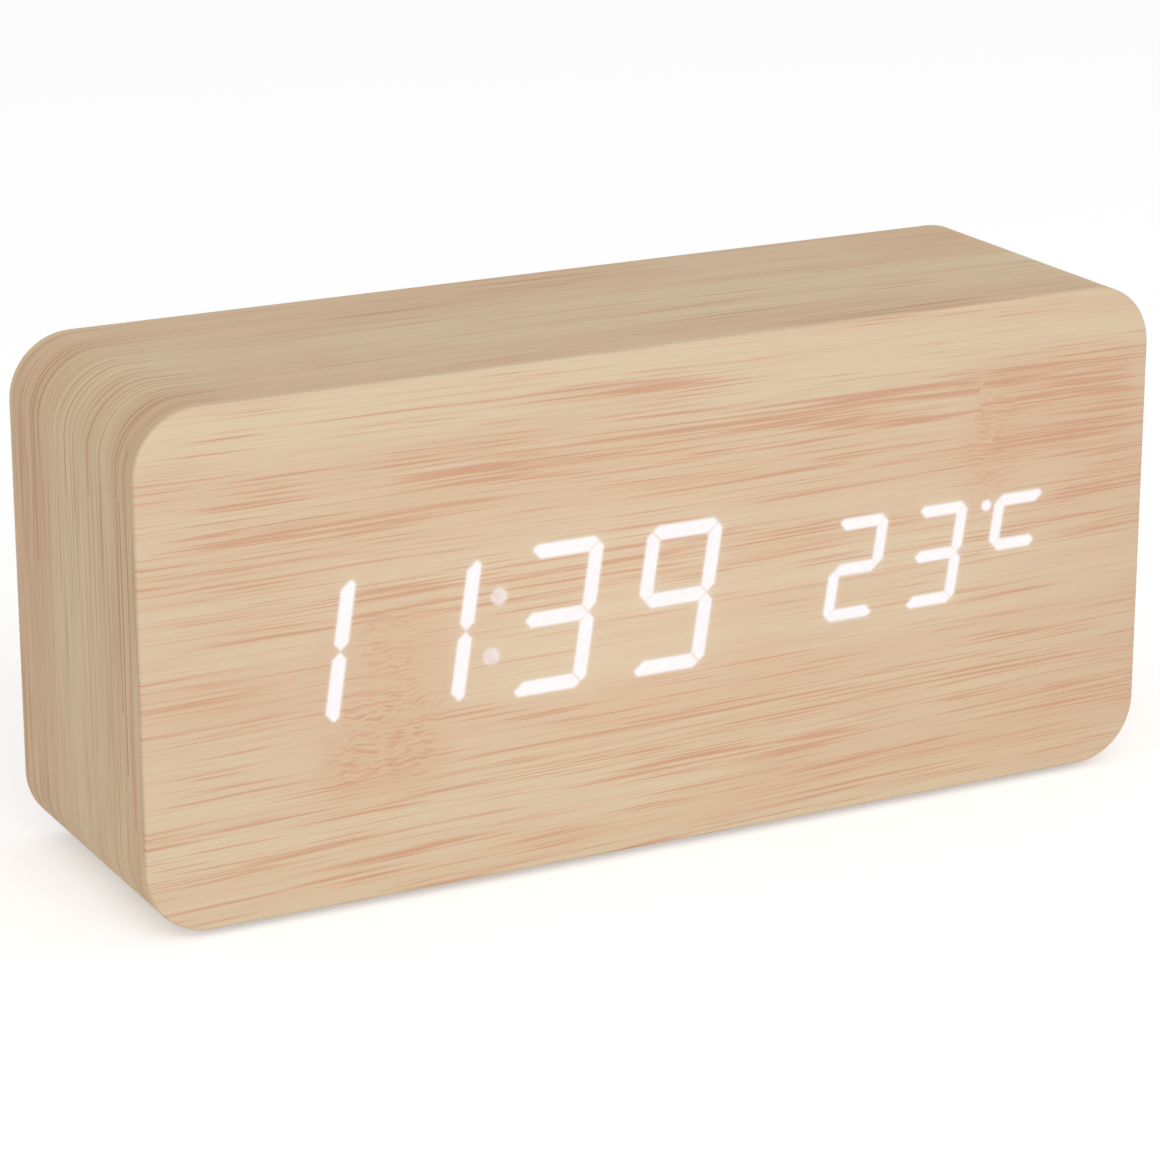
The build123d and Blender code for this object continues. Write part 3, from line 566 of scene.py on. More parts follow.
@dataclass(frozen=True)
class KnotBreak:
    """A knot where the strands break off along an uneven upright line and go on out of step."""

    along: float
    top: float
    bottom: float
    unevenness: float = 0.0075
    wander: Layer = Layer(0.0042, 0.0042, 4.7, 2.0)
    step: float = 0.0007
    width: float = 0.0011
    soft: float = 0.0015

    def shift(self, graph: Graph, place: Place) -> tuple[Flow, Flow]:
        """Moves the strands beyond the line out of step.

        Args:
            graph: The material's nodes.
            place: Where along and across the strands.

        Returns:
            How far across the strands are now, and how near the line is, from 0 to 1.
        """
        along, across = place
        line = graph.noise((0.0, across), self.wander) * self.unevenness + (self.along - self.unevenness / 2)
        past = along - line
        zone = Patch(0.0, 1.0, self.top, self.bottom, 1.0, self.soft).add_to(graph, place, 0.0)
        beyond = graph.math("GREATER_THAN", past, 0.0) * zone
        near = 1.0 - graph.rise(abs(past), 0.0, self.width)
        return beyond * self.step + across, near * zone


@dataclass(frozen=True)
class WoodFinish(Finish):
    """Bamboo veneer with a satin varnish."""

    relief: float = 0.00003
    grain: Grain = Grain.FRONT
    seed: float = 1.0
    pale: Colour = shade(221, 201, 169)
    warm: Colour = shade(218, 188, 157)
    streak: Colour = shade(216, 175, 144)
    line: Colour = shade(206, 153, 123)
    density: float = 0.35
    lines: float = 0.25
    slope: float = 0.0
    slope_gain: float = 0.0
    dense: tuple[Patch, ...] = ()
    lined: tuple[Patch, ...] = ()
    warmed: tuple[Patch, ...] = ()
    knots: tuple[Patch, ...] = ()
    breaks: tuple[KnotBreak, ...] = ()
    glows: bool = False
    light: Colour = shade(253, 249, 248)
    gloss: float = 0.35

    def strand_place(self, graph: Graph) -> Place:
        """Gives where a point is along and across the strands.

        Args:
            graph: The material's nodes.

        Returns:
            Metres along and metres across.
        """
        if self.grain is Grain.WRAP:
            return tuple(graph.attribute(WRAP_ATTRIBUTE)[:2])
        x, _, z = graph.parts(graph.place())
        side = cad_low.x if self.grain is Grain.FRONT else cad_high.x
        return abs(x - side), cad_high.z - z

    def total(self, graph: Graph, place: Place, start: float, patches: tuple[Patch, ...]) -> Feed:
        """Adds patches to a value that holds all over.

        Args:
            graph: The material's nodes.
            place: Where along and across the strands.
            start: The value that holds all over.
            patches: What is added to it.

        Returns:
            The total.
        """
        for patch in patches:
            start = patch.add_to(graph, place, start)
        return start

    def surface(self, graph: Graph) -> Surface:
        """Wires the strands, and the light that comes through them.

        Args:
            graph: The material's nodes.

        Returns:
            What feeds the shader, and the height of the relief.
        """
        place = self.strand_place(graph)
        along, across = place
        knot = self.total(graph, place, 0.0, self.knots)
        for broken in self.breaks:
            across, near = broken.shift(graph, (along, across))
            knot = graph.math("MAXIMUM", knot, near)
        values = {
            "Along": along,
            "Across": along * (across * self.slope_gain + self.slope) + across,
            "Seed": self.seed,
            "Density": self.total(graph, place, self.density, self.dense),
            "Knot": knot,
            "Lines": self.total(graph, place, self.lines, self.lined),
            "Warmth": self.total(graph, place, 0.0, self.warmed),
            "Pale": self.pale,
            "Warm": self.warm,
            "Streak": self.streak,
            "Line": self.line,
        }
        fed = BambooStrands().put(graph, values)
        fed["Specular IOR Level"] = self.gloss
        if self.glows:
            near, wide, _ = graph.attribute(GLOW_ATTRIBUTE)
            missing = graph.mix(1.0, self.light, fed["Base Color"], "SUBTRACT")
            spread = graph.tint(fed["Base Color"], wide)
            fed["Emission Color"] = graph.mix(1.0, graph.tint(missing, near), spread, "ADD")
            fed["Emission Strength"] = 1.0
        return fed


@dataclass(frozen=True)
class SkinFinish(Finish):
    """A surface that one shared group makes out of the fields named like its inputs."""

    group: SharedGroup = SharedGroup()
    metallic: float = 0.0
    smooth: float = 0.42
    rough: float = 0.58

    def surface(self, graph: Graph) -> Surface:
        """Wires the group, with the piece's own coordinates."""
        fields = {label: getattr(self, label.lower()) for label in self.group.inputs if label != "Vector"}
        return {**self.group.put(graph, {"Vector": graph.place(), **fields}), "Metallic": self.metallic}


@dataclass(frozen=True)
class MouldedFinish(SkinFinish):
    """Moulded plastic, resin or rubber."""

    group: SharedGroup = MouldedSkin()
    # deep: the grain's pits, darkened by painted shade and by the smudges' own tone; high: the raised grain
    deep: Colour = (0.015, 0.015, 0.016)
    high: Colour = (0.028, 0.028, 0.029)
    grain: float = 0.00028


@dataclass(frozen=True)
class MetalFinish(SkinFinish):
    """Drawn or plated metal."""

    group: SharedGroup = MetalStreaks()
    metallic: float = 1.0
    dull: Colour = (0.42, 0.42, 0.41)
    bright: Colour = (0.72, 0.72, 0.70)
    smooth: float = 0.24
    rough: float = 0.46


@dataclass(frozen=True)
class CellFinish(MetalFinish):
    """Dry cells: a dark printed sleeve with a copper band at the raised end, and bare steel ends."""

    dull: Colour = (0.52, 0.27, 0.10)
    bright: Colour = (0.52, 0.27, 0.10)
    smooth: float = 0.25
    rough: float = 0.40
    sleeve: Colour = (0.018, 0.020, 0.024)
    steel: Colour = (0.62, 0.62, 0.60)
    cell_length: float = 0.0445
    cell_pitch: float = 0.0508
    first_end: float = 0.04565
    row_middle: float = -0.0005
    band_step: Step = (0.70, 0.705)
    end_facing: float = 0.6

    def surface(self, graph: Graph) -> Surface:
        """Wires the sleeve, its band and the steel ends.

        Args:
            graph: The material's nodes.

        Returns:
            What feeds the shader, and the height of the band's marks.
        """
        x, y, _ = graph.parts(graph.place())
        start = x * graph.math("SIGN", self.row_middle - y) + self.first_end
        share = graph.math("FLOORED_MODULO", start, self.cell_pitch) / self.cell_length
        banded = graph.rise(share, *self.band_step)
        facing = graph.parts(graph.get("ShaderNodeNewGeometry", "True Normal"))[0]
        bare = graph.math("GREATER_THAN", abs(facing), self.end_facing)
        fed = super().surface(graph)
        colour = graph.mix(banded, self.sleeve, fed["Base Color"])
        fed["Base Color"] = graph.mix(bare, colour, self.steel)
        fed["Metallic"] = graph.math("MAXIMUM", bare, banded)
        return fed


@dataclass(frozen=True)
class LightFinish(Finish):
    """Milky resin with a light chip behind it."""

    core: Colour = shade(253, 249, 249)
    faint: Colour = shade(253, 246, 246)
    unlit: Colour = (0.02, 0.02, 0.02)
    rough: float = 0.6
    cloud_length: float = 0.0011
    cloud_step: Step = (0.4, 0.65)

    def surface(self, graph: Graph) -> Surface:
        """Wires a glow with faint clouds in it.

        Args:
            graph: The material's nodes.

        Returns:
            What feeds the shader.
        """
        cloud = graph.rise(graph.speckle(graph.place(), self.cloud_length), *self.cloud_step)
        return {
            "Emission Color": graph.mix(cloud, self.core, self.faint),
            "Emission Strength": 1.0,
            "Base Color": self.unlit,
            "Specular IOR Level": 0.0,
            "Roughness": self.rough,
        }


@dataclass(frozen=True)
class BoardFinish(Finish):
    """A circuit board: solder mask over copper tracks."""

    mask: Colour = (0.016, 0.105, 0.045)
    track: Colour = (0.030, 0.190, 0.085)
    track_pitch: float = 0.0016
    tracks_each: float = 3.0
    track_middle: float = 0.5
    track_step: Step = (0.2, 0.26)
    rough: float = 0.30
    track_rough: float = 0.08

    def surface(self, graph: Graph) -> Surface:
        """Wires square-cornered tracks under the mask.

        Args:
            graph: The material's nodes.

        Returns:
            What feeds the shader, and the height of the tracks.
        """
        fed = {"Vector": graph.place(), "Scale": 1.0 / (self.tracks_each * self.track_pitch)}
        cells = graph.get("ShaderNodeTexVoronoi", "Distance", fed, distance="CHEBYCHEV", feature="F1")
        rings = graph.math("FRACT", cells * self.tracks_each)
        tracks = graph.rise(abs(rings - self.track_middle), *self.track_step)
        return {
            "Base Color": graph.mix(tracks, self.mask, self.track),
            "Roughness": tracks * self.track_rough + self.rough,
            "Height": tracks,
        }


@dataclass(frozen=True)
class FibreFinish(Finish):
    """Raw fibreboard: pressed fibres of mixed browns."""

    dark: Colour = (0.26, 0.165, 0.09)
    light: Colour = (0.45, 0.31, 0.18)
    fibre: Layer = Layer(0.0022, 0.00035, 6.1, 3.0, 0.6)
    fibre_step: Step = (0.3, 0.7)
    rough: float = 0.75
    fibre_rough: float = 0.15

    def surface(self, graph: Graph) -> Surface:
        """Wires fibres that lie flat in the board.

        Args:
            graph: The material's nodes.

        Returns:
            What feeds the shader, and the height of the fibres.
        """
        x, y, z = graph.parts(graph.place())
        fibres = graph.noise((x, z + y), self.fibre)
        return {
            "Base Color": graph.mix(graph.rise(fibres, *self.fibre_step), self.dark, self.light),
            "Roughness": fibres * self.fibre_rough + self.rough,
            "Height": fibres,
        }


@dataclass(frozen=True)
class RibbonFinish(Finish):
    """Flat cable: grey wires side by side, one edge marked red."""

    wire: Colour = (0.34, 0.34, 0.35)
    # painted shade: the darker colour of the grooves between the round wires
    groove_shade: Colour = (0.20, 0.20, 0.21)
    marked: Colour = (0.42, 0.05, 0.04)
    wire_pitch: float = 0.00127
    half_wire: float = 0.5
    crest_step: Step = (0.05, 0.3)
    rough: float = 0.6
    crest_rough: float = -0.1

    def surface(self, graph: Graph) -> Surface:
        """Wires the rows of the cable, with painted shade in the grooves between the wires.

        Args:
            graph: The material's nodes.

        Returns:
            What feeds the shader, and the height of the rows.
        """
        low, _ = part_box("link_cable")
        count = (graph.parts(graph.place())[0] - low.x) / self.wire_pitch
        crest = graph.rise(graph.math("PINGPONG", count, self.half_wire), *self.crest_step)
        colour = graph.mix(graph.math("LESS_THAN", count, 1.0), self.wire, self.marked)
        return {
            # the grooves between the wires take the painted shade colour, the crests the wire's own grey
            "Base Color": graph.mix(crest, self.groove_shade, colour),
            "Roughness": crest * self.crest_rough + self.rough,
            "Height": crest,
        }


FRONT_WOOD = WoodFinish(
    "front_bamboo",
    grain=Grain.FRONT,
    seed=2.0,
    slope=-0.010,
    slope_gain=0.55,
    dense=(
        Patch(-0.010, 0.022, 0.009, 0.020, 0.35),
        Patch(0.034, 0.122, 0.009, 0.0130, 0.55, 0.0015),
        Patch(0.010, 0.122, 0.012, 0.022, 0.25),
        Patch(0.028, 0.100, 0.026, 0.032, 0.45),
        Patch(0.124, 0.148, 0.010, 0.022, 0.85, 0.003),
        Patch(0.136, 0.160, 0.026, 0.031, 0.35, 0.002),
        Patch(0.070, 0.160, 0.047, 0.067, 0.25),
        Patch(-0.010, 0.030, 0.052, 0.062, 0.20),
        Patch(-0.010, 0.160, -0.010, 0.007, -0.25),
        Patch(0.050, 0.160, 0.036, 0.043, -0.25),
    ),
    warmed=(
        Patch(-0.010, 0.160, 0.012, 0.032, 0.07, 0.006),
        Patch(0.025, 0.041, 0.031, 0.054, 0.42, 0.004),
        Patch(0.121, 0.129, 0.010, 0.028, 0.26, 0.003),
        Patch(0.126, 0.150, 0.010, 0.023, 0.12, 0.003),
        Patch(0.080, 0.160, 0.046, 0.069, 0.06, 0.006),
        Patch(0.126, 0.170, -0.010, 0.080, 0.13, 0.010),
        Patch(0.045, 0.160, 0.034, 0.045, -0.10, 0.004),
        Patch(-0.010, 0.160, -0.010, 0.008, -0.10, 0.003),
    ),
    knots=(
        Patch(0.0255, 0.0405, 0.042, 0.053, 1.25, 0.002),
        Patch(0.0300, 0.0385, 0.030, 0.043, 0.9, 0.002),
        Patch(0.1205, 0.1280, 0.011, 0.027, 0.9, 0.003),
    ),
    breaks=(KnotBreak(0.1235, 0.010, 0.028),),
    glows=True,
)

# Dark lines round the top left corner: how far across each is, where it starts and where it ends
CORNER_LINES = (
    (0.0025, 0.085, 0.135),
    (0.0045, 0.092, 0.128),
    (0.0055, 0.100, 0.150),
    (0.0110, 0.118, 0.149),
    (0.0150, 0.126, 0.150),
    (0.0200, 0.122, 0.147),
    (0.0230, 0.124, 0.149),
    (0.0343, 0.112, 0.150),
    (0.0353, 0.118, 0.148),
)
LINE_HALF = 0.00014
LINE_SOFT = 0.00025
LINE_WEIGHT = 3.0

BAND_WOOD = WoodFinish(
    "wrapped_bamboo",
    grain=Grain.WRAP,
    seed=31.0,
    pale=shade(223, 200, 161),
    warm=shade(218, 184, 147),
    streak=shade(208, 168, 132),
    line=shade(188, 148, 113),
    density=0.05,
    lines=0.30,
    lined=(Patch(0.060, 0.155, -0.01, 0.06, 0.65, 0.008),),
    dense=(
        Patch(0.060, 0.150, -0.01, 0.007, 0.35, 0.003),
        Patch(0.060, 0.150, 0.028, 0.050, 0.25, 0.004),
        Patch(0.225, 0.290, -0.01, 0.005, 0.45, 0.002),
        *(
            Patch(start, end, across - LINE_HALF, across + LINE_HALF, LINE_WEIGHT, LINE_SOFT)
            for across, start, end in CORNER_LINES
        ),
    ),
    warmed=(
        Patch(0.0, 0.500, 0.028, 0.050, 0.10, 0.005),
        Patch(0.0, 0.500, 0.008, 0.027, -0.06, 0.005),
        Patch(0.0, 0.500, -0.01, 0.006, 0.08, 0.002),
        Patch(0.085, 0.130, 0.030, 0.050, 0.20, 0.005),
        Patch(0.080, 0.125, 0.017, 0.025, -0.15, 0.003),
        Patch(0.153, 0.171, 0.008, 0.028, 0.15, 0.004),
        Patch(0.262, 0.285, 0.025, 0.050, 0.22, 0.006),
    ),
)

REAR_WOOD = WoodFinish(
    "rear_bamboo",
    grain=Grain.REAR,
    seed=53.0,
    slope=0.008,
    pale=shade(221, 197, 163),
    warm=shade(220, 187, 154),
    density=0.38,
)

FINISHES: dict[str, Finish] = {
    "fibreboard": FibreFinish("raw_fibreboard"),
    "front_wood": FRONT_WOOD,
    "band_wood": BAND_WOOD,
    "rear_wood": REAR_WOOD,
    "dark_steel": MetalFinish("blackened_steel", dull=(0.05, 0.05, 0.052), bright=(0.16, 0.16, 0.165)),
    "plated_steel": MetalFinish("plated_steel"),
    "contact_brass": MetalFinish("turned_brass", dull=(0.50, 0.34, 0.14), bright=(0.80, 0.60, 0.30)),
    "foot_pad": MouldedFinish(
        "pad_rubber", deep=(0.022, 0.022, 0.022), high=(0.050, 0.050, 0.049), smooth=0.72, rough=0.86
    ),
    "white_plastic": MouldedFinish("white_plastic", deep=(0.70, 0.70, 0.68), high=(0.79, 0.79, 0.77)),
    "dark_bars": MouldedFinish(
        "unlit_resin", deep=(0.50, 0.49, 0.45), high=(0.60, 0.59, 0.55), smooth=0.25, rough=0.35
    ),
    "lit_bars": LightFinish("lit_resin"),
    "dim_light": LightFinish("dim_resin", core=shade(241, 226, 220), faint=shade(236, 216, 208)),
    "chip_resin": MouldedFinish(
        "chip_resin", deep=(0.72, 0.64, 0.30), high=(0.85, 0.78, 0.42), smooth=0.2, rough=0.3
    ),
    "circuit_board": BoardFinish("solder_mask"),
    "black_plastic": MouldedFinish("black_plastic"),
    "chip_body": MouldedFinish("chip_body", deep=(0.022, 0.022, 0.023), high=(0.040, 0.040, 0.041)),
    "capacitor_sleeve": MouldedFinish(
        "shrunk_sleeve", deep=(0.012, 0.020, 0.060), high=(0.024, 0.036, 0.095), smooth=0.25, rough=0.38
    ),
    "ribbon_grey": RibbonFinish("flat_cable"),
    "sensor_resin": MouldedFinish("dipped_resin", smooth=0.22, rough=0.34),
    "cell_wrap": CellFinish("printed_cell"),
    "red_wire": MouldedFinish("red_insulation", deep=(0.36, 0.014, 0.012), high=(0.48, 0.028, 0.022)),
    "black_wire": MouldedFinish("black_insulation"),
}


@dataclass
class Sheet:
    """A veneer that takes the place of a packed one and follows the case's rounded outline."""

    node: str
    slot: str
    corner_radius: float = 0.0087

    def __post_init__(self) -> None:
        """Reads where the sheet is from the frame."""
        low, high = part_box(self.node)
        self.front, self.back = low.y, high.y
        self.middle = ((low.x + high.x) / 2, (low.z + high.z) / 2)
        self.half = ((high.x - low.x) / 2, (high.z - low.z) / 2)

    def make(
        self, name: str, points: np.ndarray, faces: list[Face], wrap: np.ndarray | None = None
    ) -> bpy.types.Mesh:
        """Makes the sheet's piece, which rides on the clock's body.

        Args:
            name: The piece's name.
            points: Its corners, in metres in the clock's frame.
            faces: Its faces, by corner number.
            wrap: How far along and across the wrap each face's corners are, where the strands follow it.

        Returns:
            Its mesh, with the faces turned outward and the rounded edges shaded smooth.
        """
        mesh = bpy.data.meshes.new(name)
        mesh.from_pydata([tuple(point) for point in points], [], faces)
        if wrap is not None:
            attribute = mesh.attributes.new(WRAP_ATTRIBUTE, "FLOAT_VECTOR", "CORNER")
            attribute.data.foreach_set("vector", wrap.astype(np.float32).ravel())
        mesh.validate()
        mesh.materials.append(FINISHES[self.slot].material())
        shape = bmesh.new()
        shape.from_mesh(mesh)
        loose = [vert for vert in shape.verts if not vert.link_faces]
        bmesh.ops.delete(shape, geom=loose, context="VERTS")
        bmesh.ops.recalc_face_normals(shape, faces=shape.faces[:])
        for face in shape.faces:
            face.smooth = True
        shape.to_mesh(mesh)
        shape.free()
        mesh.set_sharp_from_angle(angle=SHARP_ANGLE)
        piece = bpy.data.objects.new(name, mesh)
        bpy.context.scene.collection.objects.link(piece)
        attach(piece, ROOT_BODY)
        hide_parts(self.node)
        return mesh


class WindowLoop:
    """The outline of a window in the front, as points (x, z) in order."""

    def __init__(self, points: np.ndarray) -> None:
        """Keeps the points, those after them, the runs between and the area, which has a sign.

        Args:
            points: The window's corners.
        """
        self.points = points
        self.ahead = np.roll(points, -1, axis=0)
        self.runs = self.ahead - points
        self.area = (points[:, 0] * self.ahead[:, 1] - self.ahead[:, 0] * points[:, 1]).sum() / 2

    def gaps(self, points: np.ndarray) -> np.ndarray:
        """Measures how far points are from the window's edge.

        Args:
            points: Points (x, z).

        Returns:
            Metres for each point.
        """
        share = ((points[:, None] - self.points) * self.runs).sum(2) / (self.runs**2).sum(1)
        nearest = self.points + np.clip(share, 0, 1)[..., None] * self.runs
        return np.linalg.norm(points[:, None] - nearest, axis=2).min(1)

    def holds(self, points: np.ndarray) -> np.ndarray:
        """Tells which points lie inside the window.

        Args:
            points: Points (x, z).

        Returns:
            True or false for each point.
        """
        x, z = points[:, :1], points[:, 1:]
        straddles = (self.points[:, 1] > z) != (self.ahead[:, 1] > z)
        with np.errstate(divide="ignore", invalid="ignore"):
            crossing = self.points[:, 0] + (z - self.points[:, 1]) / self.runs[:, 1] * self.runs[:, 0]
        return (straddles & (x < crossing)).sum(1) % 2 == 1

    def ring(self, gap: float, step: float) -> np.ndarray:
        """Spaces points evenly at a distance round the window.

        Args:
            gap: The distance from it.
            step: How far apart the points are, at most about.

        Returns:
            Points (x, z).
        """
        side = -1 if self.area < 0 else 1
        points = []
        for corner, run in zip(self.points, self.runs):
            length = np.linalg.norm(run)
            outward = side * np.array((run[1], -run[0])) / length
            for share in np.linspace(0, 1, max(2, int(length / step) + 1)):
                points.append(corner + run * share + outward * gap)
        return np.array(points)


@dataclass
class FrontSheet(Sheet):
    """The front veneer, with the light of the digits showing through it."""

    node: str = "front_veneer"
    slot: str = "front_wood"
    dim_node: str = "colon_dots"
    edge_radius: float = 0.00035
    corner_steps: int = 16
    edge_steps: int = 4
    weld_gap: float = 1e-7
    front_facing: float = -0.99
    grid_step: float = 0.004
    ring_step: float = 0.0004
    ring_gaps: tuple[float, ...] = (0.00010, 0.00020, 0.00033, 0.00050, 0.00080, 0.00140)
    clear_share: float = 0.9
    fill_scale: float = 1000.0
    fill_gap: float = 1e-6
    core_glow: float = 0.85
    core_reach: float = 0.00025
    tail_glow: float = 0.07
    tail_reach: float = 0.0009
    dim_share: float = 0.40
    wide_glow: float = 0.009
    wide_reach: float = 0.013
    wide_area: float = 0.0000124

    def outline(self, inset: float) -> np.ndarray:
        """Gives the sheet's rounded outline.

        Args:
            inset: How far inside the full outline it runs.

        Returns:
            Points (x, z), anticlockwise seen from the front.
        """
        radius = self.corner_radius - inset
        points = []
        for corner, (side, level) in enumerate(((1, 1), (-1, 1), (-1, -1), (1, -1))):
            centre_x = self.middle[0] + side * (self.half[0] - self.corner_radius)
            centre_z = self.middle[1] + level * (self.half[1] - self.corner_radius)
            for step in range(self.corner_steps + 1):
                turn = math.pi / 2 * (corner + step / self.corner_steps)
                points.append((centre_x + radius * math.cos(turn), centre_z + radius * math.sin(turn)))
        return np.array(points)

    def windows(self) -> list[WindowLoop]:
        """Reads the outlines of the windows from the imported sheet.

        Returns:
            All loops of its front but the longest, which is the sheet's own rim.
        """
        shape = bmesh.new()
        shape.from_mesh(frame["nodes"][self.node].data)
        bmesh.ops.remove_doubles(shape, verts=shape.verts[:], dist=self.weld_gap)
        flat = {
            face for face in shape.faces
            if face.normal.y < self.front_facing and face.calc_center_median().y < self.front + TOLERANCE
        }
        beside: dict[bmesh.types.BMVert, list[bmesh.types.BMVert]] = {}
        for edge in shape.edges:
            if sum(face in flat for face in edge.link_faces) == 1:
                for vert in edge.verts:
                    beside.setdefault(vert, []).append(edge.other_vert(vert))
        loops = []
        waiting = set(beside)
        while waiting:
            first = min(waiting, key=lambda vert: vert.index)
            loop, here, last = [first], beside[first][0], first
            while here is not first:
                loop.append(here)
                here, last = next(vert for vert in beside[here] if vert is not last), here
            waiting.difference_update(loop)
            loops.append(np.array([(vert.co.x, vert.co.z) for vert in loop]))
        shape.free()
        loops.sort(key=lambda loop: np.ptp(loop[:, 0]))
        return [WindowLoop(loop) for loop in loops[:-1]]

    def glow(self, points: np.ndarray, windows: list[WindowLoop]) -> np.ndarray:
        """Works out how much light comes through the veneer at each point.

        Args:
            points: Points (x, z).
            windows: The outlines of all windows.

        Returns:
            For each point the bright glow at a window's edge, from 0 to 1, the faint wide one, and zero.
        """
        dim_low, dim_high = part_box(self.dim_node)
        dark = np.ones(len(points))
        wide = np.zeros(len(points))
        for window in windows:
            x, z = window.points.mean(0)
            dim = dim_low.x < x < dim_high.x and dim_low.z < z < dim_high.z
            gap = window.gaps(points)
            core = self.core_glow * np.exp(-((gap / self.core_reach) ** 2))
            light = core + self.tail_glow * np.exp(-gap / self.tail_reach)
            dark *= 1 - light * (self.dim_share if dim else 1)
            size = abs(window.area) / self.wide_area
            wide += self.wide_glow * size * np.exp(-((gap / self.wide_reach) ** 2))
        return np.column_stack((1 - dark, wide, np.zeros(len(points))))

    def loose_points(self, windows: list[WindowLoop]) -> np.ndarray:
        """Spreads points over the front: rings round the windows and a coarse grid.

        Args:
            windows: The outlines of all windows.

        Returns:
            Points (x, z) that are clear of the windows.
        """
        rings = [window.ring(gap, self.ring_step) for window in windows for gap in self.ring_gaps]
        reach = [half - self.corner_radius / 2 for half in self.half]
        axes = [np.arange(m - r, m + r, self.grid_step) for m, r in zip(self.middle, reach)]
        grid = np.array(np.meshgrid(*axes)).reshape(2, -1).T
        points = np.concatenate([*rings, grid])
        clear = np.full(len(points), True)
        for window in windows:
            clear &= ~window.holds(points)
            clear &= window.gaps(points) > self.ring_gaps[0] * self.clear_share
        return points[clear]

    def fill(
        self, rim: np.ndarray, windows: list[WindowLoop], loose: np.ndarray
    ) -> tuple[np.ndarray, list[Face], list[int]]:
        """Fills a flat outline round the windows with triangles.

        Args:
            rim: The outline.
            windows: The windows' outlines.
            loose: Further points to use.

        Returns:
            The points, the triangles, and where each rim and window point went.
        """
        loops = [rim, *(window.points for window in windows)]
        fixed = np.concatenate(loops)
        edges, first = [], 0
        for loop in loops:
            count = len(loop)
            edges += [(first + i, first + (i + 1) % count) for i in range(count)]
            first += count
        given = [Vector(point * self.fill_scale) for point in np.concatenate([fixed, loose])]
        points, _, triangles, sources, _, _ = delaunay_2d_cdt(given, edges, [], 0, self.fill_gap)
        points = np.array(points) / self.fill_scale
        places = {source: number for number, found in enumerate(sources) for source in found}
        middles = np.array([points[list(triangle)].mean(0) for triangle in triangles])
        open_area = np.full(len(triangles), False)
        for window in windows:
            open_area |= window.holds(middles)
        kept = [tuple(triangle) for triangle, cut in zip(triangles, open_area) if not cut]
        return points, kept, [places[number] for number in range(len(fixed))]

    def level(self, points: np.ndarray, depth: float) -> np.ndarray:
        """Puts points (x, z) at one depth."""
        return np.column_stack((points[:, 0], np.full(len(points), depth), points[:, 1]))

    def build(self) -> None:
        """Builds the sheet: front, rounded edge, back and the walls of its windows."""
        windows = self.windows()
        rim = self.outline(self.edge_radius)
        flat, faces, placed = self.fill(rim, windows, self.loose_points(windows))
        points = [self.level(flat, self.front)]
        total, count = len(flat), len(rim)
        row = placed[:count]
        for step in range(1, self.edge_steps + 2):
            turn = math.pi / 2 * min(step, self.edge_steps) / self.edge_steps
            depth = self.front + self.edge_radius * (1 - math.cos(turn))
            if step > self.edge_steps:
                depth = self.back
            points.append(self.level(self.outline(self.edge_radius * (1 - math.sin(turn))), depth))
            above = list(range(total, total + count))
            faces += [(row[i], above[i], above[i - 1], row[i - 1]) for i in range(count)]
            row, total = above, total + count
        rear_flat, rear_faces, rear_placed = self.fill(self.outline(0.0), windows, np.empty((0, 2)))
        shift = {number: total + number for number in range(len(rear_flat))}
        shift.update(zip(rear_placed[:count], row))
        points.append(self.level(rear_flat, self.back))
        faces += [tuple(shift[number] for number in reversed(face)) for face in rear_faces]
        first = count
        for window in windows:
            size = len(window.points)
            near = placed[first:first + size]
            far = [shift[number] for number in rear_placed[first:first + size]]
            faces += [(near[i], far[i], far[i - 1], near[i - 1]) for i in range(size)]
            first += size
        mesh = self.make("front_sheet", np.concatenate(points), faces)
        places = np.array([vert.co for vert in mesh.vertices])
        glow = mesh.attributes.new(GLOW_ATTRIBUTE, "FLOAT_VECTOR", "POINT")
        glow.data.foreach_set("vector", self.glow(places[:, [0, 2]], windows).astype(np.float32).ravel())
        log.info("front_sheet: %d corners round %d windows", len(places), len(windows))


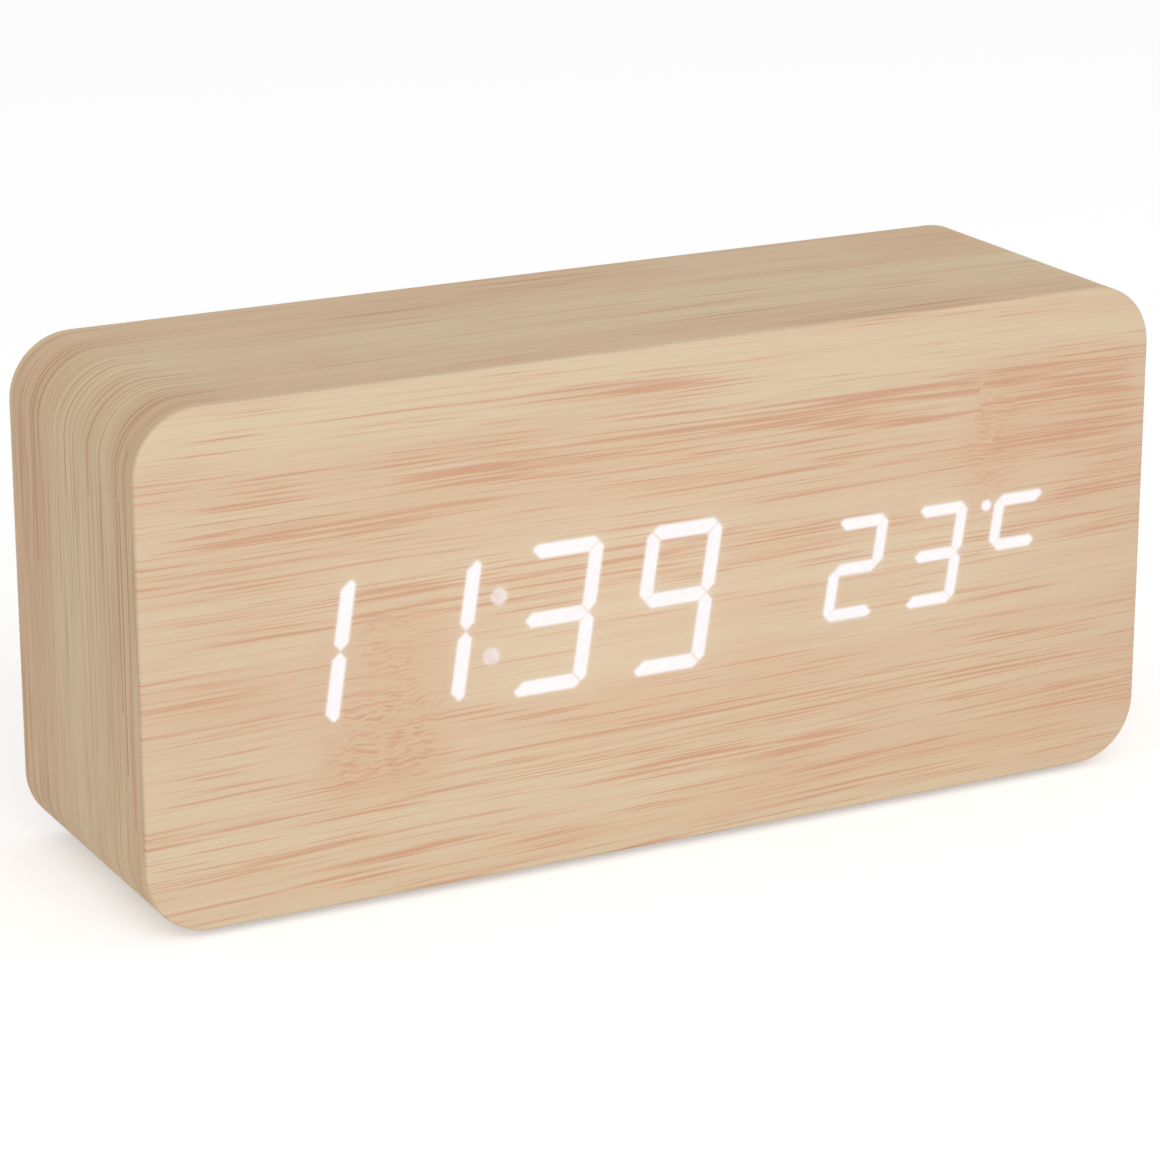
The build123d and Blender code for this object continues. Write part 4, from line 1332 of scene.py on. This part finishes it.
@dataclass
class WrappedSheet(Sheet):
    """The veneer round the four sides, with its strands following the wrap."""

    node: str = "band_veneer"
    slot: str = "band_wood"
    tray_node: str = "battery_tray"
    thickness: float = 0.0005
    tray_clearance: float = 0.0002
    corner_steps: int = 20
    run_step: float = 0.008

    def __post_init__(self) -> None:
        """Reads where the sheet and the tray's hole are from the frame."""
        super().__post_init__()
        low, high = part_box(self.tray_node)
        self.rows = (self.front, low.y - self.tray_clearance, high.y + self.tray_clearance, self.back)
        self.hole = (low.x - self.tray_clearance, high.x + self.tray_clearance)

    def columns(self) -> list[tuple[Vector, Vector, float]]:
        """Walks once round the case, from the middle of the underside to the left.

        Returns:
            For each stop its place, the way that is outward and the length walked.
        """
        wide, tall = self.half
        flat_x, flat_z = wide - self.corner_radius, tall - self.corner_radius
        sides = (
            ((0, -1), (0.0, -tall), (-flat_x, -tall), self.hole[:1]),
            ((-1, 0), (-wide, -flat_z), (-wide, flat_z), ()),
            ((0, 1), (-flat_x, tall), (flat_x, tall), ()),
            ((1, 0), (wide, flat_z), (wide, -flat_z), ()),
            ((0, -1), (flat_x, -tall), (0.0, -tall), self.hole[1:]),
        )
        stops = []
        for number, (outward, start, end, breaks) in enumerate(sides):
            if number:
                stops += self.corner(number, Vector(start) - Vector(outward) * self.corner_radius)
            stops += self.run(Vector(outward), Vector(start), Vector(end), breaks)
        walked, last, found = 0.0, stops[0][0], []
        for place, outward in stops:
            walked += (place - last).length
            last = place
            found.append((place + Vector(self.middle), outward, walked))
        return found

    def corner(self, number: int, centre: Vector) -> list[Stop]:
        """Lays stops round the corner that comes before a side.

        Args:
            number: The side's number.
            centre: The middle of the corner's arc.

        Returns:
            The stops, each a place and the way that is outward.
        """
        turns = [-math.pi / 2 * (number + step / self.corner_steps) for step in range(1, self.corner_steps)]
        ways = [Vector((math.cos(turn), math.sin(turn))) for turn in turns]
        return [(centre + way * self.corner_radius, way) for way in ways]

    def run(self, outward: Vector, start: Vector, end: Vector, breaks: tuple[float, ...]) -> list[Stop]:
        """Lays stops along a straight side.

        Args:
            outward: The way that is outward there.
            start: Where the side starts.
            end: Where it ends.
            breaks: Places along x where a stop has to be.

        Returns:
            The stops, each a place and the way that is outward.
        """
        count = max(1, round((end - start).length / self.run_step))
        shares = [step / count for step in range(count + 1)]
        shares += [(x - start.x) / (end.x - start.x) for x in breaks]
        return [(start.lerp(end, share), outward) for share in sorted(shares)]

    def skin(self, columns: list[tuple[Vector, Vector, float]]) -> list[Face]:
        """Lays faces between the stops and the rows, but over the tray.

        Args:
            columns: The stops round the case.

        Returns:
            Faces by corner number.
        """
        deep = len(self.rows)
        bottom = self.middle[1] - self.half[1] + self.thickness
        left, right = self.hole[0] - TOLERANCE, self.hole[1] + TOLERANCE
        under_tray = [place.y < bottom and left < place.x < right for place, _, _ in columns]
        faces = []
        for i in range(len(columns) - 1):
            for j in range(deep - 1):
                if not (j == 1 and under_tray[i] and under_tray[i + 1]):
                    first = i * deep + j
                    faces.append((first, first + 1, first + deep + 1, first + deep))
        return faces

    def build(self) -> None:
        """Builds the sheet as a closed shell, its two ends welded, with a hole for the battery tray."""
        columns = self.columns()
        deep = len(self.rows)
        count = len(columns) * deep
        joined = count - deep
        outer, inner, wrap = [], [], []
        for place, outward, walked in columns:
            under = place - outward * self.thickness
            for depth in self.rows:
                outer.append((place.x, depth, place.y))
                inner.append((under.x, depth, under.y))
                wrap.append((walked, depth - self.rows[0], 0.0))
        faces = self.skin(columns)
        directed = {(face[i - 1], face[i]) for face in faces for i in range(len(face))}
        rims = [edge for edge in directed if edge[::-1] not in directed]
        rims = [edge for edge in rims if max(edge) >= deep and min(edge) < joined]
        shell = faces + [tuple(count + number for number in reversed(face)) for face in faces]
        shell += [(end, start, start + count, end + count) for start, end in rims]
        ends = [number // count * joined + number % count % joined for number in range(2 * count)]
        welded = [tuple(ends[number] for number in face) for face in shell]
        walks = np.array([wrap[number % count] for face in shell for number in face])
        self.make("wrapped_sheet", np.array(outer[:joined] + inner[:joined]), welded, walks)
        log.info("wrapped_sheet: %d stops round the case", len(columns))


@dataclass
class SubAssembly:
    """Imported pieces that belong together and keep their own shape."""

    title: str
    nodes: tuple[str, ...]

    def dress(self) -> None:
        """Gives each piece the finish of its material slot."""
        slots = {part["node"]: part["material_slot"] for part in frame["record"]["subparts"]}
        for node in self.nodes:
            mesh = frame["nodes"][node].data
            mesh.materials.clear()
            mesh.materials.append(FINISHES[slots[node]].material())
            log.info("%s: %s in %s", self.title, node, slots[node])


SUB_ASSEMBLIES = (
    SubAssembly("case", ("case_shell", "rear_panel", "rear_veneer", "rear_screws", "feet")),
    SubAssembly(
        "display",
        (
            "hour_tens_bars", "hour_units_bars", "minute_tens_bars", "minute_units_bars", "colon_dots",
            "temperature_tens_bars", "temperature_units_bars", "degree_dot", "celsius_bars", "unlit_bars",
            "segment_housing", "led_chips", "display_board", "board_screws", "display_driver", "clock_chip",
            "crystal", "capacitors", "resistors", "coin_cell_holder", "coin_cell", "display_header",
        ),
    ),
    SubAssembly(
        "keys",
        (
            "set_button", "up_button", "down_button", "set_plunger", "up_plunger", "down_plunger",
            "set_switch", "up_switch", "down_switch", "key_board", "key_board_standoffs", "key_board_screws",
            "key_header", "link_cable",
        ),
    ),
    SubAssembly("power, sound and sensing", ("power_jack", "jack_pin", "buzzer", "microphone", "thermistor")),
    SubAssembly(
        "battery bay",
        (
            "battery_tray", "battery_door", "tray_screws", "battery_cells", "contact_springs",
            "contact_bridge", "contact_links", "contact_terminals", "positive_lead", "negative_lead",
        ),
    ),
)


@dataclass
class Studio:
    """A pale floor, a soft lamp, a white surround and the camera."""

    floor_half: float = 4.0
    floor_colour: Colour = (0.90, 0.90, 0.90)
    floor_rough: float = 0.9
    floor_lift: float = 0.38
    surround: float = 0.585
    white: Colour = (1.0, 1.0, 1.0)
    lamp_place: tuple[float, float, float] = (-0.22, -1.15, 0.615)
    lamp_power: float = 8.0
    lamp_size: float = 1.3
    camera_place: tuple[float, float, float] = (-0.249728, -0.474828, 0.203130)
    camera_forward: tuple[float, float, float] = (0.44098, 0.84428, -0.30453)
    lens: float = 127.66
    sensor: float = 36.0

    def seen(self, graph: Graph) -> Flow:
        """Tells rays that see the surround, straight on or in a mirror or glass, from those that light.

        Args:
            graph: The nodes of the surround or the floor.

        Returns:
            1 for rays that see, 0 for rays that light.
        """
        path = graph.flows(graph.add("ShaderNodeLightPath"))
        seen = graph.math("MAXIMUM", path["Is Camera Ray"], path["Is Glossy Ray"])
        return graph.math("MAXIMUM", seen, path["Is Transmission Ray"])

    def put(self, name: str, data: bpy.types.ID) -> bpy.types.Object:
        """Makes an object and links it to the scene.

        Args:
            name: Its name.
            data: Its mesh, lamp or camera.

        Returns:
            The object.
        """
        made = bpy.data.objects.new(name, data)
        bpy.context.scene.collection.objects.link(made)
        return made

    def build_floor(self) -> None:
        """Lays the floor: it keeps the shadow, and what sees it finds it near white."""
        mesh = bpy.data.meshes.new("floor")
        half = self.floor_half
        corners = [(-half, -half, 0), (half, -half, 0), (half, half, 0), (-half, half, 0)]
        mesh.from_pydata(corners, [], [(0, 1, 2, 3)])
        material = bpy.data.materials.new("pale_floor")
        material.use_nodes = True
        graph = Graph(material.node_tree)
        shader = graph.find("BSDF_PRINCIPLED")
        graph.feed(shader.inputs["Base Color"], self.floor_colour)
        graph.feed(shader.inputs["Roughness"], self.floor_rough)
        graph.feed(shader.inputs["Specular IOR Level"], 0.0)
        lift = graph.get("ShaderNodeEmission", 0, {"Strength": self.seen(graph) * self.floor_lift})
        both = graph.get("ShaderNodeAddShader", 0, {0: Flow(graph, shader.outputs[0]), 1: lift})
        graph.feed(graph.find("OUTPUT_MATERIAL").inputs["Surface"], both)
        mesh.materials.append(material)
        floor = self.put("floor", mesh)

    def build_surround(self) -> None:
        """Makes the world white to look at and plain to be lit by."""
        world = bpy.data.worlds.new("surround")
        world.use_nodes = True
        graph = Graph(world.node_tree)
        background = graph.find("BACKGROUND")
        graph.feed(background.inputs["Color"], self.white)
        graph.feed(background.inputs["Strength"], self.seen(graph) * (1.0 - self.surround) + self.surround)
        bpy.context.scene.world = world

    def build_lamp(self) -> None:
        """Hangs a soft square lamp that points at the clock's middle."""
        data = bpy.data.lights.new("front_lamp", "AREA")
        data.shape = "SQUARE"
        data.size = self.lamp_size
        data.energy = self.lamp_power
        lamp = self.put("front_lamp", data)
        lamp.location = self.lamp_place
        lamp.visible_camera = False
        aim = (cad_low + cad_high) / 2 - Vector(self.lamp_place)
        lamp.rotation_euler = aim.to_track_quat("-Z", "Y").to_euler()

    def build_camera(self) -> None:
        """Sets the camera at the photographed angle."""
        data = bpy.data.cameras.new("camera")
        data.lens = self.lens
        data.sensor_width = self.sensor
        camera = self.put("camera", data)
        back = -Vector(self.camera_forward).normalized()
        right = Vector((0, 0, 1)).cross(back).normalized()
        turn = Matrix((right, back.cross(right), back)).transposed()
        camera.matrix_world = Matrix.Translation(self.camera_place) @ turn.to_4x4()
        bpy.context.scene.camera = camera

    def build(self) -> None:
        """Builds the whole studio."""
        bpy.context.scene.view_settings.view_transform = "Standard"
        self.build_floor()
        self.build_surround()
        self.build_camera()
        self.build_lamp()
        log.info("studio: lamp, floor, surround and camera")


def main() -> None:
    """Builds the clock's skins, dresses its pieces and sets up the studio."""
    logging.basicConfig(level=logging.INFO, format="%(name)s %(message)s")
    FrontSheet().build()
    WrappedSheet().build()
    for assembly in SUB_ASSEMBLIES:
        assembly.dress()
    Studio().build()


if __name__ == "__main__":
    main()
